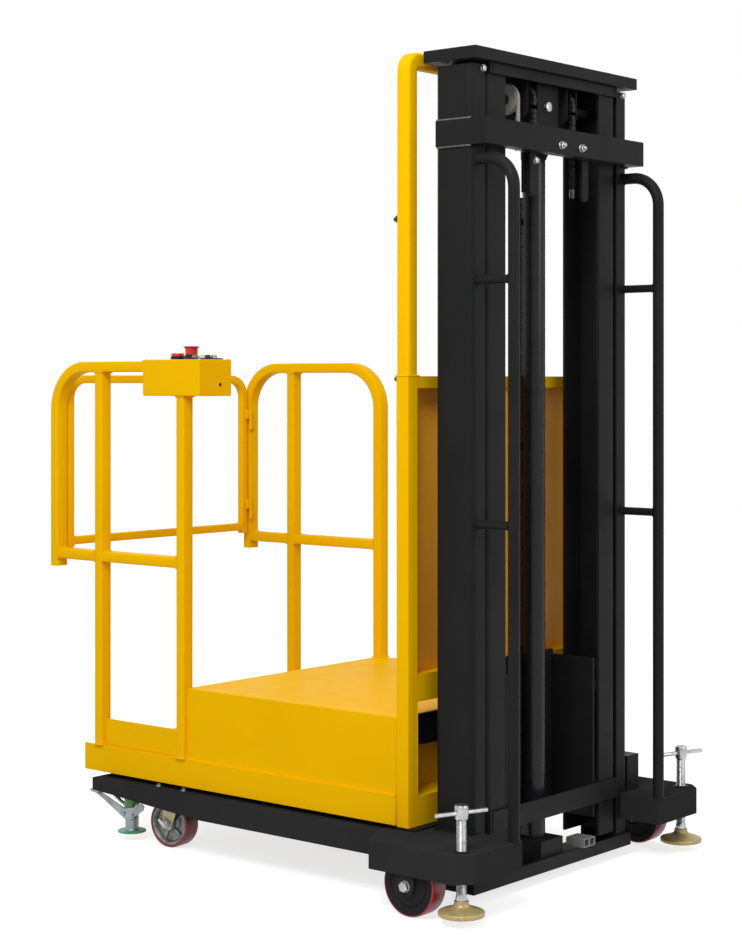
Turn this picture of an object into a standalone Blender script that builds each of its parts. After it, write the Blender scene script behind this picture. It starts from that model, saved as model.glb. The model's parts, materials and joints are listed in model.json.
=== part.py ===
"""Order picker truck: a push-along work platform lifted by a two-stage mast.

Metres, +Z up, +Y towards the entry gate. The origin is on the floor under the middle of the
machine. Left is -X and right is +X for someone who stands on the platform and faces the gate.
"""

import math

import bmesh
import bpy
from mathutils import Matrix, Vector

# Driving dimensions of the whole machine
FRONT_Y = 0.759
REAR_Y = -0.759
HEIGHT = 1.992
TOUCH_GAP = 0.0003
RUNNING_GAP = 0.005
SIDES = (("left", -1.0), ("right", 1.0))

# Base: outriggers, legs and the beam under the mast
OUTRIGGER_TOP = 0.162
OUTRIGGER_BOTTOM = 0.097
OUTRIGGER_HALF_WIDTH = 0.516
OUTRIGGER_REAR_LEDGE = 0.117
OUTRIGGER_INNER_X = 0.295
OUTRIGGER_FRONT_Y = -0.418
OUTRIGGER_SHOULDER_Y = -0.473
OUTRIGGER_CHAMFER = 0.036
OUTRIGGER_CORNER = 0.012
PLATE = 0.004
LEG_OUTER_X = 0.420
LEG_INNER_X = 0.280
LEG_TOP = 0.160
LEG_BOTTOM = 0.100
LEG_TIP_BOTTOM = 0.127
LEG_TAPER_Y = 0.169
LEG_TIP_Y = 0.569
BASE_SIDE_LEDGE = 0.004
BASE_BOTTOM = 0.026
BASE_THICKNESS = 0.008
BASE_LIP_TOP = 0.058
BASE_FRONT_LEDGE = 0.006

# Mast: both stages share one depth, front to rear
MAST_REAR_Y = -0.631
MAST_DEPTH = 0.110
MAST_WALL = 0.008
MAST_CORNER = 0.016
OUTER_WEB_X = 0.331
OUTER_FLANGE = 0.051
OUTER_BELOW_TOP = 0.037
INNER_FLANGE = 0.076
INNER_BOTTOM = 0.070
CAP_THICKNESS = 0.0285
CAP_HALF_WIDTH = 0.345
CAP_REAR_OVERHANG = 0.0205
CAP_FRONT_OVERHANG = 0.023
TIE_THICKNESS = 0.008
TIE_HEIGHT = 0.050
TIE_BOTTOM = 0.157
HEAD_BEAM_HEIGHT = 0.026
BAND_BELOW_TOP = 0.2274
BAND_HEIGHT = 0.0616
BAND_WALL = 0.0065
BAND_BEAM_DEPTH = 0.035
BAND_STANDOFF = 0.010
BAND_SIDE_REACH = 0.103
HANGER_WIDTH = 0.028
HANGER_LENGTH = 0.1046
HANGER_THICKNESS = 0.008
HANGER_CORNER = 0.0135
HANGER_INSET = 0.008
HANGER_OFFSET = 0.028
ROLLER_WIDTH = 0.042
MAST_ROLLER_HEIGHTS = (0.25, 0.65)

# Lift cylinder, sheaves and chains
BARREL_RADIUS = 0.0285
BARREL_WALL = 0.004
BARREL_BELOW_TOP = 0.210
CYLINDER_SETBACK = 0.060
FOOT_HALF_WIDTH = 0.047
FOOT_TOP = 0.097
FOOT_REAR_REACH = 0.055
FOOT_FRONT_REACH = 0.035
FOOT_SUNK = 0.004
ROD_RADIUS = 0.019
ROD_BOTTOM = 0.420
SHEAVE_BELOW_TOP = 0.099
SHEAVE_SETBACK = 0.050
SHEAVE_RADIUS = 0.041
SHEAVE_WIDTH = 0.020
SHAFT_RADIUS = 0.012
CHAIN_X = 0.083
CHAIN_WIDTH = 0.014
CHAIN_THICKNESS = 0.012
CHAIN_END_BELOW_TOP = 0.292
CHAIN_ARC_STEPS = 12
HOSE_SHEAVE_X = -0.129
HOSE_SHEAVE_RADIUS = 0.035
HOSE_SHEAVE_WIDTH = 0.014
HOSE_GROOVE_DEPTH = 0.006
HOSE_RADIUS = 0.005
HOSE_ANCHOR_HALF_WIDTH = 0.012
CROSSHEAD_HALF_WIDTH = 0.050
CROSSHEAD_BELOW_TOP = 0.192
CROSSHEAD_DEPTH = 0.062

# Handles behind the mast
HANDLE_INSET = 0.020
HANDLE_RADIUS = 0.014
HANDLE_REACH = 0.105
HANDLE_BELOW_TOP = 0.259
HANDLE_BEND = 0.072
STANDOFF_RADIUS = 0.010
STANDOFFS_BELOW_TOP = (1.108, 0.541)

# Levelling jacks
JACK_INSET = 0.046
JACK_PAD_RADIUS = 0.053
JACK_PAD_LIFT = 0.020
JACK_PAD_HEIGHT = 0.034
JACK_SCREW_RADIUS = 0.012
JACK_HEAD_RADIUS = 0.015
JACK_HEAD_HEIGHT = 0.033
JACK_TOP = 0.269
JACK_BAR_RADIUS = 0.005
JACK_BAR_LENGTH = 0.140
JACK_BOSS_RADIUS = 0.020
JACK_BOSS_DEPTH = 0.040
JACK_BAR_ANGLE = -20.0

# Rear wheels, fixed in the outriggers
REAR_WHEEL_RADIUS = 0.072
REAR_WHEEL_WIDTH = 0.048
REAR_WHEEL_INSET = 0.040
REAR_WHEEL_Y = -0.577
AXLE_RADIUS = 0.008
FORK_PLATE = 0.006
FORK_SIDE_GAP = 0.004
FORK_WIDTH = 0.045
BOLT_HEAD_RADIUS = 0.0105
BOLT_HEAD_HEIGHT = 0.008

# Swivel casters under the legs
CASTER_X = 0.349
CASTER_Y = 0.3125
CASTER_TRAIL = 0.016
CASTER_RADIUS = 0.0625
CASTER_WIDTH = 0.048
CASTER_CROWN = 0.005
CASTER_HEAD_RADIUS = 0.030
CASTER_FORK_PLATE = 0.003
CASTER_FORK_TOP_WIDTH = 0.056
CASTER_FORK_TIP_RADIUS = 0.014
CASTER_REST_ANGLES = {"left": 5.0, "right": 8.0}

# Floor locks at the tips of the legs
LOCK_X = 0.362
LOCK_Y = 0.477
LOCK_PAD_RADIUS = 0.038
LOCK_PAD_THICKNESS = 0.006
LOCK_PAD_LIFT = 0.018
LOCK_STEM_RADIUS = 0.012
LOCK_SLEEVE_RADIUS = 0.018
LOCK_SLEEVE_BOTTOM = 0.060
LOCK_LINK_THICKNESS = 0.004
LOCK_LINK_WIDTH = 0.018
LOCK_LINK_REACH = 0.065
LOCK_LINK_KNEE = (-0.019, 0.070)
LOCK_LINK_END_Z = 0.097
LOCK_PEDAL_Y = 0.606
LOCK_PEDAL_Z = 0.112

# Platform and the raised box behind the standing place
PLATFORM_BOTTOM = 0.172
PLATFORM_FRONT_Y = 0.626
DECK_TOP = 0.236
DECK_SHEET = 0.003
DECK_LIP = 0.007
DECK_EDGE = 0.007
BOX_HALF_WIDTH = 0.388
BOX_FRONT_Y = 0.245
BOX_TOP = 0.425
TOE_TOP = 0.314
REAR_FRAME_CLEARANCE = 0.0335
REAR_FRAME_DEPTH = 0.036
REAR_FRAME_BOTTOM = 0.168
REAR_FRAME_TOP = 1.228
REAR_POST = 0.035
REAR_SILL_TOP = 0.239
REAR_MID_BOTTOM = 0.461
REAR_MID_TOP = 0.526
REAR_HEADER_BOTTOM = 1.199
GUARD_TUBE = 0.038
GUARD_BELOW_TOP = 0.001
GUARD_CORNER = 0.045
POWER_UNIT_SIDE_ROOM = 0.058
POWER_UNIT_REAR_ROOM = 0.0512
POWER_UNIT_TOP_ROOM = 0.030
POWER_UNIT_WIDTH = 0.270
POWER_UNIT_DEPTH = 0.260

# Lifting bracket that carries the platform on the inner mast
BRACKET_HALF_WIDTH = 0.190
BRACKET_PLATE = 0.010
BRACKET_BOTTOM = 0.120
BRACKET_SIDE_TOP = 0.520
BRACKET_TOP = 0.532
BRACKET_REAR_ROOM = 0.006
BRACKET_ROLLER_HEIGHTS = (0.20, 0.45)
CHAIN_ANCHOR_BOTTOM = 0.470
CHAIN_ANCHOR_HEIGHT = 0.034
CHAIN_ANCHOR_ROOM = 0.006

# Side rails: the long way of the tube lies across the machine
RAIL_INSET = 0.006
RAIL_ACROSS = 0.038
RAIL_ALONG = 0.028
INFILL_ACROSS = 0.036
RAIL_TOP = 1.268
RAIL_BEND = 0.130
RAIL_FRONT_BOTTOM = 0.712
RAIL_BAR_BOTTOM = 0.733
RAIL_BAR_HEIGHT = 0.028
RAIL_POST_Y = 0.569
RAIL_REAR_LEG_INSET = 0.0105
CONTROL_OUTER_REACH = 0.023
CONTROL_WIDTH = 0.119
CONTROL_REAR_Y = 0.183
CONTROL_DEPTH = 0.209
CONTROL_HEIGHT = 0.0945
CONTROL_ABOVE_RAIL = 0.004
STOP_BUTTON_INSET = 0.032
STOP_BUTTON_SETBACK = 0.126
STOP_BUTTON_RADIUS = 0.021
STOP_BUTTON_HEIGHT = 0.034

# Entry gate, hinged on the right-hand rail
GATE_TUBE = 0.022
GATE_INSET = 0.036
GATE_BELOW_RAIL = 0.036
GATE_BOTTOM = 0.758
GATE_BEND = 0.065
GATE_BAR_BOTTOM = 0.766
HINGE_OFFSET_X = 0.014
HINGE_OFFSET_Y = 0.0195
HINGE_RADIUS = 0.005
HINGE_KNUCKLE = 0.030
HINGE_HEIGHTS = (0.800, 1.070)

# Charging plug on the base beam and valve box beside the mast
PLUG_X = 0.104
PLUG_OVERHANG = 0.010
PLUG_SIZE = (0.052, 0.054, 0.022)
PLUG_POCKET_OFFSET = 0.012
PLUG_POCKET = (0.017, 0.030, 0.016)
VALVE_BOX_WIDTH = 0.0537
VALVE_BOX_DEPTH = 0.075
VALVE_BOX_HEIGHT = 0.090

# Values that follow from the ones above
OUTER_TOP = HEIGHT - OUTER_BELOW_TOP
BAND_BOTTOM = HEIGHT - BAND_BELOW_TOP
BARREL_TOP = HEIGHT - BARREL_BELOW_TOP
SHEAVE_Z = HEIGHT - SHEAVE_BELOW_TOP
CHAIN_REAR_END_Z = HEIGHT - CHAIN_END_BELOW_TOP
CROSSHEAD_BOTTOM = HEIGHT - CROSSHEAD_BELOW_TOP
HANDLE_TOP = HEIGHT - HANDLE_BELOW_TOP
STANDOFF_HEIGHTS = [HEIGHT - below for below in STANDOFFS_BELOW_TOP]
GUARD_TOP = HEIGHT - GUARD_BELOW_TOP
CYLINDER_Y = MAST_REAR_Y + CYLINDER_SETBACK
SHEAVE_Y = MAST_REAR_Y + SHEAVE_SETBACK
HANDLE_X = OUTER_WEB_X - HANDLE_INSET
HANDLE_Y = MAST_REAR_Y - HANDLE_REACH
JACK_X = OUTRIGGER_HALF_WIDTH - JACK_INSET
BASE_HALF_WIDTH = OUTER_WEB_X + BASE_SIDE_LEDGE
REAR_WHEEL_X = OUTRIGGER_HALF_WIDTH - REAR_WHEEL_INSET
PLATFORM_HALF_WIDTH = BOX_HALF_WIDTH + DECK_EDGE
RAIL_X = BOX_HALF_WIDTH - RAIL_INSET
RAIL_REAR_LEG_Y = BOX_FRONT_Y - RAIL_REAR_LEG_INSET
MAST_FRONT_Y = MAST_REAR_Y + MAST_DEPTH
BASE_REAR_Y = MAST_REAR_Y - TOUCH_GAP - BASE_THICKNESS
OUTRIGGER_REAR_Y = MAST_REAR_Y - OUTRIGGER_REAR_LEDGE
BASE_FRONT_Y = MAST_FRONT_Y + BASE_FRONT_LEDGE
REAR_FRAME_Y = MAST_FRONT_Y + REAR_FRAME_CLEARANCE
MAST_MID_Y = (MAST_REAR_Y + MAST_FRONT_Y) / 2
INNER_WEB_X = OUTER_WEB_X - OUTER_FLANGE - RUNNING_GAP
ROLLER_RADIUS = MAST_DEPTH / 2 - MAST_WALL - TOUCH_GAP
CAP_BOTTOM = HEIGHT - CAP_THICKNESS
BASE_TOP = BASE_BOTTOM + BASE_THICKNESS
JACK_Y = REAR_Y + JACK_PAD_RADIUS
DECK_REAR_Y = REAR_FRAME_Y + REAR_FRAME_DEPTH + TOUCH_GAP
RAIL_FRONT_Y = FRONT_Y - RAIL_ALONG / 2
BEAM_FRONT_Y = MAST_REAR_Y - BAND_STANDOFF
ARC_ALLOWANCE = 1 / math.cos(math.pi / 2 / CHAIN_ARC_STEPS)
RAIL_BRACED_POST_Y = BOX_FRONT_Y + TOUCH_GAP + RAIL_ALONG / 2
CONTROL_TOP = RAIL_TOP + CONTROL_ABOVE_RAIL
CONTROL_LOW = (-RAIL_X - CONTROL_OUTER_REACH, CONTROL_REAR_Y, CONTROL_TOP - CONTROL_HEIGHT)
CONTROL_HIGH = (CONTROL_LOW[0] + CONTROL_WIDTH, CONTROL_REAR_Y + CONTROL_DEPTH, CONTROL_TOP)
GATE_LEG_X = RAIL_X - GATE_INSET
GATE_TOP = RAIL_TOP - GATE_BELOW_RAIL
HINGE_X = GATE_LEG_X + HINGE_OFFSET_X
HINGE_Y = RAIL_FRONT_Y - HINGE_OFFSET_Y


def clear_scene():
    """Start from an empty file and make the two collections."""
    for existing in list(bpy.data.objects):
        bpy.data.objects.remove(existing, do_unlink=True)
    groups = []
    for label in ("order_picker_truck", "cutters"):
        group = bpy.data.collections.new(label)
        bpy.context.scene.collection.children.link(group)
        groups.append(group)
    return groups


PARTS, CUTTERS = clear_scene()


def make_material(name, colour, roughness, metallic):
    material = bpy.data.materials.new(name)
    material.use_nodes = True
    shader = material.node_tree.nodes["Principled BSDF"]
    shader.inputs["Base Color"].default_value = (*colour, 1.0)
    shader.inputs["Roughness"].default_value = roughness
    shader.inputs["Metallic"].default_value = metallic
    return material


YELLOW = make_material("yellow_paint", (0.89, 0.48, 0.0), 0.35, 0.0)
BLACK = make_material("black_paint", (0.022, 0.022, 0.023), 0.45, 0.0)
ZINC = make_material("zinc_plate", (0.62, 0.62, 0.60), 0.35, 1.0)
BRASSY = make_material("yellow_zinc_plate", (0.60, 0.52, 0.32), 0.40, 1.0)
TREAD_RED = make_material("red_polyurethane", (0.32, 0.035, 0.03), 0.40, 0.0)
GREEN = make_material("green_rubber", (0.08, 0.33, 0.16), 0.55, 0.0)
SIGNAL_RED = make_material("red_plastic", (0.60, 0.02, 0.015), 0.30, 0.0)
DARK_STEEL = make_material("oiled_steel", (0.06, 0.06, 0.06), 0.40, 1.0)
CHROME = make_material("chromed_rod", (0.75, 0.75, 0.76), 0.12, 1.0)
RUBBER = make_material("hose_rubber", (0.30, 0.29, 0.265), 0.50, 0.0)
GREY_PLASTIC = make_material("grey_plastic", (0.42, 0.42, 0.40), 0.50, 0.0)
NAVY = make_material("navy_plastic", (0.02, 0.025, 0.06), 0.50, 0.0)


def place(name, mesh, material=None):
    """Put a mesh in the scene: as a part when it has a material, or else as a cutter."""
    item = bpy.data.objects.new(name, mesh)
    if material is None:
        CUTTERS.objects.link(item)
        item.hide_render = True
        item.display_type = "WIRE"
    else:
        mesh.materials.append(material)
        PARTS.objects.link(item)
    return item


def weld(mesh):
    """Close the seams that a converted curve leaves and turn every face outwards."""
    work = bmesh.new()
    work.from_mesh(mesh)
    bmesh.ops.remove_doubles(work, verts=work.verts, dist=0.00001)
    bmesh.ops.recalc_face_normals(work, faces=work.faces)
    work.to_mesh(mesh)
    work.free()


def mesh_of_curve(curve, name):
    """Turn a curve into a closed mesh."""
    holder = bpy.data.objects.new(name, curve)
    bpy.context.scene.collection.objects.link(holder)
    depsgraph = bpy.context.evaluated_depsgraph_get()
    mesh = bpy.data.meshes.new_from_object(holder.evaluated_get(depsgraph), depsgraph=depsgraph)
    bpy.data.objects.remove(holder, do_unlink=True)
    bpy.data.curves.remove(curve)
    mesh.name = name
    mesh.materials.clear()
    weld(mesh)
    return mesh


def box(name, low, high, material=None):
    """A box between two corners."""
    low, high = Vector(low), Vector(high)
    size = high - low
    work = bmesh.new()
    matrix = Matrix.Translation((low + high) / 2) @ Matrix.Diagonal((*size, 1.0))
    bmesh.ops.create_cube(work, size=1.0, matrix=matrix)
    mesh = bpy.data.meshes.new(name)
    work.to_mesh(mesh)
    work.free()
    return place(name, mesh, material)


def rod(name, start, end, radius, material=None, segments=24):
    """A round bar between two points."""
    start, end = Vector(start), Vector(end)
    along = end - start
    work = bmesh.new()
    turn = Vector((0.0, 0.0, 1.0)).rotation_difference(along).to_matrix().to_4x4()
    matrix = Matrix.Translation((start + end) / 2) @ turn
    bmesh.ops.create_cone(work, cap_ends=True, segments=segments, radius1=radius, radius2=radius,
                          depth=along.length, matrix=matrix)
    mesh = bpy.data.meshes.new(name)
    work.to_mesh(mesh)
    work.free()
    return place(name, mesh, material)


# How a drawn outline (u, v) and its thickness w turn into x, y, z for each direction
FRAMES = {
    "x": Matrix(((0, 0, 1, 0), (1, 0, 0, 0), (0, 1, 0, 0), (0, 0, 0, 1))),
    "y": Matrix(((1, 0, 0, 0), (0, 0, -1, 0), (0, 1, 0, 0), (0, 0, 0, 1))),
    "z": Matrix.Identity(4),
}


def prism(name, outline, axis, low, high, material=None):
    """A flat outline pushed along x (u is y, v is z), y (u is x, v is z) or z (u is x, v is y)."""
    curve = bpy.data.curves.new(name, "CURVE")
    curve.dimensions = "2D"
    curve.fill_mode = "BOTH"
    curve.extrude = (high - low) / 2
    spline = curve.splines.new("POLY")
    spline.points.add(len(outline) - 1)
    first_u, first_v = outline[0]
    for point, (u, v) in zip(spline.points, outline):
        point.co = (u - first_u, v - first_v, 0.0, 1.0)
    spline.use_cyclic_u = True
    mesh = mesh_of_curve(curve, name)
    middle = (low + high) / 2
    shift = {"x": (middle, 0, 0), "y": (0, middle, 0), "z": (0, 0, middle)}[axis]
    start = Matrix.Translation((first_u, first_v, 0.0))
    mesh.transform(Matrix.Translation(shift) @ FRAMES[axis] @ start)
    return place(name, mesh, material)


def tube(name, points, radius, material=None, resolution=2):
    """A round tube along a list of points, with filled ends."""
    curve = bpy.data.curves.new(name, "CURVE")
    curve.dimensions = "3D"
    curve.bevel_depth = radius
    curve.bevel_resolution = resolution
    curve.use_fill_caps = True
    spline = curve.splines.new("POLY")
    spline.points.add(len(points) - 1)
    for point, position in zip(spline.points, points):
        point.co = (*position, 1.0)
    return place(name, mesh_of_curve(curve, name), material)


def turned(name, profile, centre, material=None, axis="z", segments=32, closed=False):
    """A profile of (radius, height) points turned about its axis; closed makes a ring."""
    mesh = bpy.data.meshes.new(name)
    vertices = [(radius, 0.0, height) for radius, height in profile]
    edges = [(index, index + 1) for index in range(len(profile) - 1)]
    if closed:
        edges.append((len(profile) - 1, 0))
    mesh.from_pydata(vertices, edges, [])
    item = place(name, mesh, material)
    item.location = centre
    if axis == "x":
        item.rotation_euler = (0.0, math.radians(90.0), 0.0)
    screw = item.modifiers.new("turn", "SCREW")
    screw.steps = segments
    screw.render_steps = segments
    screw.use_merge_vertices = True
    screw.merge_threshold = 0.00001
    return item


def combine(item, others, operation):
    """Boolean the other objects into one item, or out of it."""
    for other in others:
        modifier = item.modifiers.new(other.name, "BOOLEAN")
        modifier.operation = operation
        modifier.solver = "EXACT"
        modifier.object = other
    return item


def rounded(corners, radii, steps=6):
    """Replace each corner of an open or closed path by an arc of its radius, 0 for none."""
    path = []
    count = len(corners)
    for index, (corner, radius) in enumerate(zip(corners, radii)):
        here = Vector(corner)
        if radius <= 0.0:
            path.append(tuple(here))
            continue
        before = (Vector(corners[index - 1]) - here).normalized()
        after = (Vector(corners[(index + 1) % count]) - here).normalized()
        half = before.angle(after) / 2
        centre = here + (before + after).normalized() * (radius / math.sin(half))
        start = here + before * (radius / math.tan(half)) - centre
        end = here + after * (radius / math.tan(half)) - centre
        sweep = start.angle(end)
        for step in range(steps + 1):
            share = step / steps
            weight_start = math.sin((1 - share) * sweep) / math.sin(sweep)
            weight_end = math.sin(share * sweep) / math.sin(sweep)
            path.append(tuple(centre + start * weight_start + end * weight_end))
    return path


def band(path, width):
    """The outline of a strip of even width that follows a flat path."""
    left, right = [], []
    last = len(path) - 1
    for index, point in enumerate(path):
        here = Vector(point)
        back = (here - Vector(path[max(index - 1, 0)])).normalized()
        ahead = (Vector(path[min(index + 1, last)]) - here).normalized()
        if index == 0:
            back = ahead
        if index == last:
            ahead = back
        along = (back + ahead).normalized()
        side = Vector((-along.y, along.x)) * (width / 2 / max(along.dot(ahead), 0.5))
        left.append(tuple(here + side))
        right.append(tuple(here - side))
    return left + right[::-1]


def inset(outline, distance):
    """The same closed outline, moved inwards by a distance on every side."""
    area = 0.0
    count = len(outline)
    for index in range(count):
        (x0, y0), (x1, y1) = outline[index], outline[(index + 1) % count]
        area += x0 * y1 - x1 * y0
    turn = 1.0 if area > 0 else -1.0
    result = []
    for index in range(count):
        here = Vector(outline[index])
        back = (here - Vector(outline[index - 1])).normalized()
        ahead = (Vector(outline[(index + 1) % count]) - here).normalized()
        normal_back = Vector((-back.y, back.x)) * turn
        normal_ahead = Vector((-ahead.y, ahead.x)) * turn
        mitre = (normal_back + normal_ahead).normalized()
        result.append(tuple(here + mitre * (distance / mitre.dot(normal_back))))
    return result


def mirrored(outline, side):
    """An outline drawn for the right-hand side, moved to the given side."""
    return [(side * u, v) for u, v in outline]


def ordered(first, second):
    return min(first, second), max(first, second)


def carried_by(name, position, items):
    """Parent moving pieces to an empty on their joint's axis, without moving them."""
    holder = bpy.data.objects.new(name, None)
    holder.location = position
    PARTS.objects.link(holder)
    for item in items:
        item.parent = holder
        item.matrix_parent_inverse = Matrix.Translation(-Vector(position))
    return holder


def channel_outline(web_x, flange, side):
    """A C section that opens towards the middle of the mast, with rounded outer corners."""
    tip_x = web_x - flange
    corners = [
        (tip_x, MAST_REAR_Y),
        (web_x, MAST_REAR_Y),
        (web_x, MAST_FRONT_Y),
        (tip_x, MAST_FRONT_Y),
        (tip_x, MAST_FRONT_Y - MAST_WALL),
        (web_x - MAST_WALL, MAST_FRONT_Y - MAST_WALL),
        (web_x - MAST_WALL, MAST_REAR_Y + MAST_WALL),
        (tip_x, MAST_REAR_Y + MAST_WALL),
    ]
    radii = [0.0, MAST_CORNER, MAST_CORNER, 0.0, 0.0, 0.0, 0.0, 0.0]
    return mirrored(rounded(corners, radii, 6), side)


def make_outriggers():
    """Folded boxes, open below, that hold the rear wheels and the jack screws."""
    web = OUTER_WEB_X + TOUCH_GAP
    behind_mast = MAST_REAR_Y - TOUCH_GAP
    outline = [
        (OUTRIGGER_INNER_X, OUTRIGGER_REAR_Y),
        (OUTRIGGER_HALF_WIDTH - OUTRIGGER_CHAMFER, OUTRIGGER_REAR_Y),
        (OUTRIGGER_HALF_WIDTH, OUTRIGGER_REAR_Y + OUTRIGGER_CHAMFER),
        (OUTRIGGER_HALF_WIDTH, OUTRIGGER_SHOULDER_Y),
        (LEG_OUTER_X, OUTRIGGER_FRONT_Y),
        (LEG_INNER_X, OUTRIGGER_FRONT_Y),
        (LEG_INNER_X, BASE_FRONT_Y),
        (web, BASE_FRONT_Y),
        (web, behind_mast),
        (OUTRIGGER_INNER_X, behind_mast),
    ]
    outline = rounded(outline, [0.0, OUTRIGGER_CORNER, OUTRIGGER_CORNER] + [0.0] * 7, 3)
    for name, side in SIDES:
        outer = mirrored(outline, side)
        shell = prism(f"outrigger_{name}", outer, "z", OUTRIGGER_BOTTOM, OUTRIGGER_TOP, BLACK)
        hollow = prism(f"outrigger_hollow_{name}", inset(outer, PLATE), "z",
                       OUTRIGGER_BOTTOM - PLATE, OUTRIGGER_TOP - PLATE)
        joined = []
        for label, near in (("outer", REAR_WHEEL_WIDTH / 2 + FORK_SIDE_GAP),
                            ("inner", -REAR_WHEEL_WIDTH / 2 - FORK_SIDE_GAP - FORK_PLATE)):
            low, high = ordered(side * (REAR_WHEEL_X + near),
                                side * (REAR_WHEEL_X + near + FORK_PLATE))
            half = FORK_WIDTH / 2
            corners = [
                (REAR_WHEEL_Y - half, REAR_WHEEL_RADIUS - half),
                (REAR_WHEEL_Y + half, REAR_WHEEL_RADIUS - half),
                (REAR_WHEEL_Y + half, OUTRIGGER_TOP - PLATE / 2),
                (REAR_WHEEL_Y - half, OUTRIGGER_TOP - PLATE / 2),
            ]
            round_foot = rounded(corners, [half * 0.9, half * 0.9, 0.0, 0.0], 5)
            joined.append(prism(f"fork_{label}_{name}", round_foot, "x", low, high))
        reach = REAR_WHEEL_WIDTH / 2 + FORK_SIDE_GAP + FORK_PLATE
        centre = Vector((side * REAR_WHEEL_X, REAR_WHEEL_Y, REAR_WHEEL_RADIUS))
        across = Vector((reach + BOLT_HEAD_HEIGHT / 2, 0.0, 0.0))
        joined.append(rod(f"axle_{name}", centre - across, centre + across, AXLE_RADIUS))
        for label, way in (("outer", side), ("inner", -side)):
            start = centre + Vector((way * (reach - FORK_PLATE / 2), 0.0, 0.0))
            end = centre + Vector((way * (reach + BOLT_HEAD_HEIGHT), 0.0, 0.0))
            joined.append(rod(f"axle_head_{label}_{name}", start, end, BOLT_HEAD_RADIUS, segments=6))
        top = (side * JACK_X, JACK_Y, OUTRIGGER_TOP - PLATE / 2)
        foot = (side * JACK_X, JACK_Y, OUTRIGGER_TOP - JACK_BOSS_DEPTH)
        joined.append(rod(f"jack_boss_{name}", foot, top, JACK_BOSS_RADIUS))
        bore = rod(f"jack_bore_{name}", (side * JACK_X, JACK_Y, OUTRIGGER_BOTTOM),
                   (side * JACK_X, JACK_Y, OUTRIGGER_TOP + PLATE), JACK_SCREW_RADIUS + 2 * TOUCH_GAP)
        combine(shell, [hollow], "DIFFERENCE")
        combine(shell, joined, "UNION")
        combine(shell, [bore], "DIFFERENCE")


def make_legs():
    """Inverted channels that run forward under the platform and carry the casters."""
    rear = OUTRIGGER_FRONT_Y + TOUCH_GAP
    outline = [
        (rear, LEG_BOTTOM),
        (LEG_TAPER_Y, LEG_BOTTOM),
        (LEG_TIP_Y, LEG_TIP_BOTTOM),
        (LEG_TIP_Y, LEG_TOP),
        (rear, LEG_TOP),
    ]
    for name, side in SIDES:
        low, high = ordered(side * LEG_INNER_X, side * LEG_OUTER_X)
        leg = prism(f"side_leg_{name}", outline, "x", low, high, BLACK)
        hollow = box(f"leg_hollow_{name}", (low + PLATE, rear - PLATE, LEG_BOTTOM - PLATE),
                     (high - PLATE, LEG_TIP_Y - PLATE, LEG_TOP - PLATE))
        combine(leg, [hollow], "DIFFERENCE")


def make_base():
    """The plate with a raised rear lip that the mast stands on, and the cylinder's foot."""
    outline = [
        (BASE_REAR_Y, BASE_BOTTOM),
        (BASE_FRONT_Y, BASE_BOTTOM),
        (BASE_FRONT_Y, BASE_TOP),
        (BASE_REAR_Y + BASE_THICKNESS, BASE_TOP),
        (BASE_REAR_Y + BASE_THICKNESS, BASE_LIP_TOP),
        (BASE_REAR_Y, BASE_LIP_TOP),
    ]
    base = prism("base_beam", outline, "x", -BASE_HALF_WIDTH, BASE_HALF_WIDTH, BLACK)
    foot = box("cylinder_foot",
               (-FOOT_HALF_WIDTH, CYLINDER_Y - FOOT_REAR_REACH, BASE_TOP - FOOT_SUNK),
               (FOOT_HALF_WIDTH, CYLINDER_Y + FOOT_FRONT_REACH, FOOT_TOP))
    combine(base, [foot], "UNION")
    low = Vector((PLUG_X, BASE_REAR_Y - PLUG_OVERHANG, BASE_LIP_TOP + TOUCH_GAP))
    size = Vector(PLUG_SIZE)
    plug = box("charging_plug", low, low + size, GREY_PLASTIC)
    width, depth, height = PLUG_POCKET
    pockets = []
    for name, side in SIDES:
        x = low.x + size.x / 2 + side * PLUG_POCKET_OFFSET
        z = low.z + size.z / 2
        pockets.append(box(f"plug_pocket_{name}", (x - width / 2, low.y - PLATE, z - height / 2),
                           (x + width / 2, low.y + depth, z + height / 2)))
    combine(plug, pockets, "DIFFERENCE")


def make_outer_mast():
    """Two fixed channels, and the band that ties them behind the head of the mast."""
    for name, side in SIDES:
        prism(f"outer_mast_channel_{name}", channel_outline(OUTER_WEB_X, OUTER_FLANGE, side), "z",
              BASE_TOP + TOUCH_GAP, OUTER_TOP, BLACK)
    inner = OUTER_WEB_X + TOUCH_GAP
    outer = inner + BAND_WALL
    rear = BEAM_FRONT_Y - BAND_BEAM_DEPTH
    reach = MAST_REAR_Y + BAND_SIDE_REACH
    outline = [
        (-outer, reach), (-outer, rear), (outer, rear), (outer, reach),
        (inner, reach), (inner, BEAM_FRONT_Y), (-inner, BEAM_FRONT_Y), (-inner, reach),
    ]
    tie = prism("mast_band", outline, "z", BAND_BOTTOM, BAND_BOTTOM + BAND_HEIGHT, BLACK)
    foot, root = BAND_BOTTOM - HANGER_LENGTH, BAND_BOTTOM + PLATE
    hanger_rear = BEAM_FRONT_Y - HANGER_INSET
    hangers = []
    for name, side in SIDES:
        middle = side * (CHAIN_X + HANGER_OFFSET)
        low, high = middle - HANGER_WIDTH / 2, middle + HANGER_WIDTH / 2
        plate = rounded([(low, foot), (high, foot), (high, root), (low, root)],
                        [HANGER_CORNER, HANGER_CORNER, 0.0, 0.0], 5)
        hangers.append(prism(f"chain_hanger_{name}", plate, "y", hanger_rear,
                             hanger_rear + HANGER_THICKNESS))
    combine(tie, hangers, "UNION")
    low = (OUTER_WEB_X + TOUCH_GAP, MAST_REAR_Y, OUTRIGGER_TOP + TOUCH_GAP)
    high = (low[0] + VALVE_BOX_WIDTH, low[1] + VALVE_BOX_DEPTH, low[2] + VALVE_BOX_HEIGHT)
    box("valve_box", low, high, BLACK)


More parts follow.
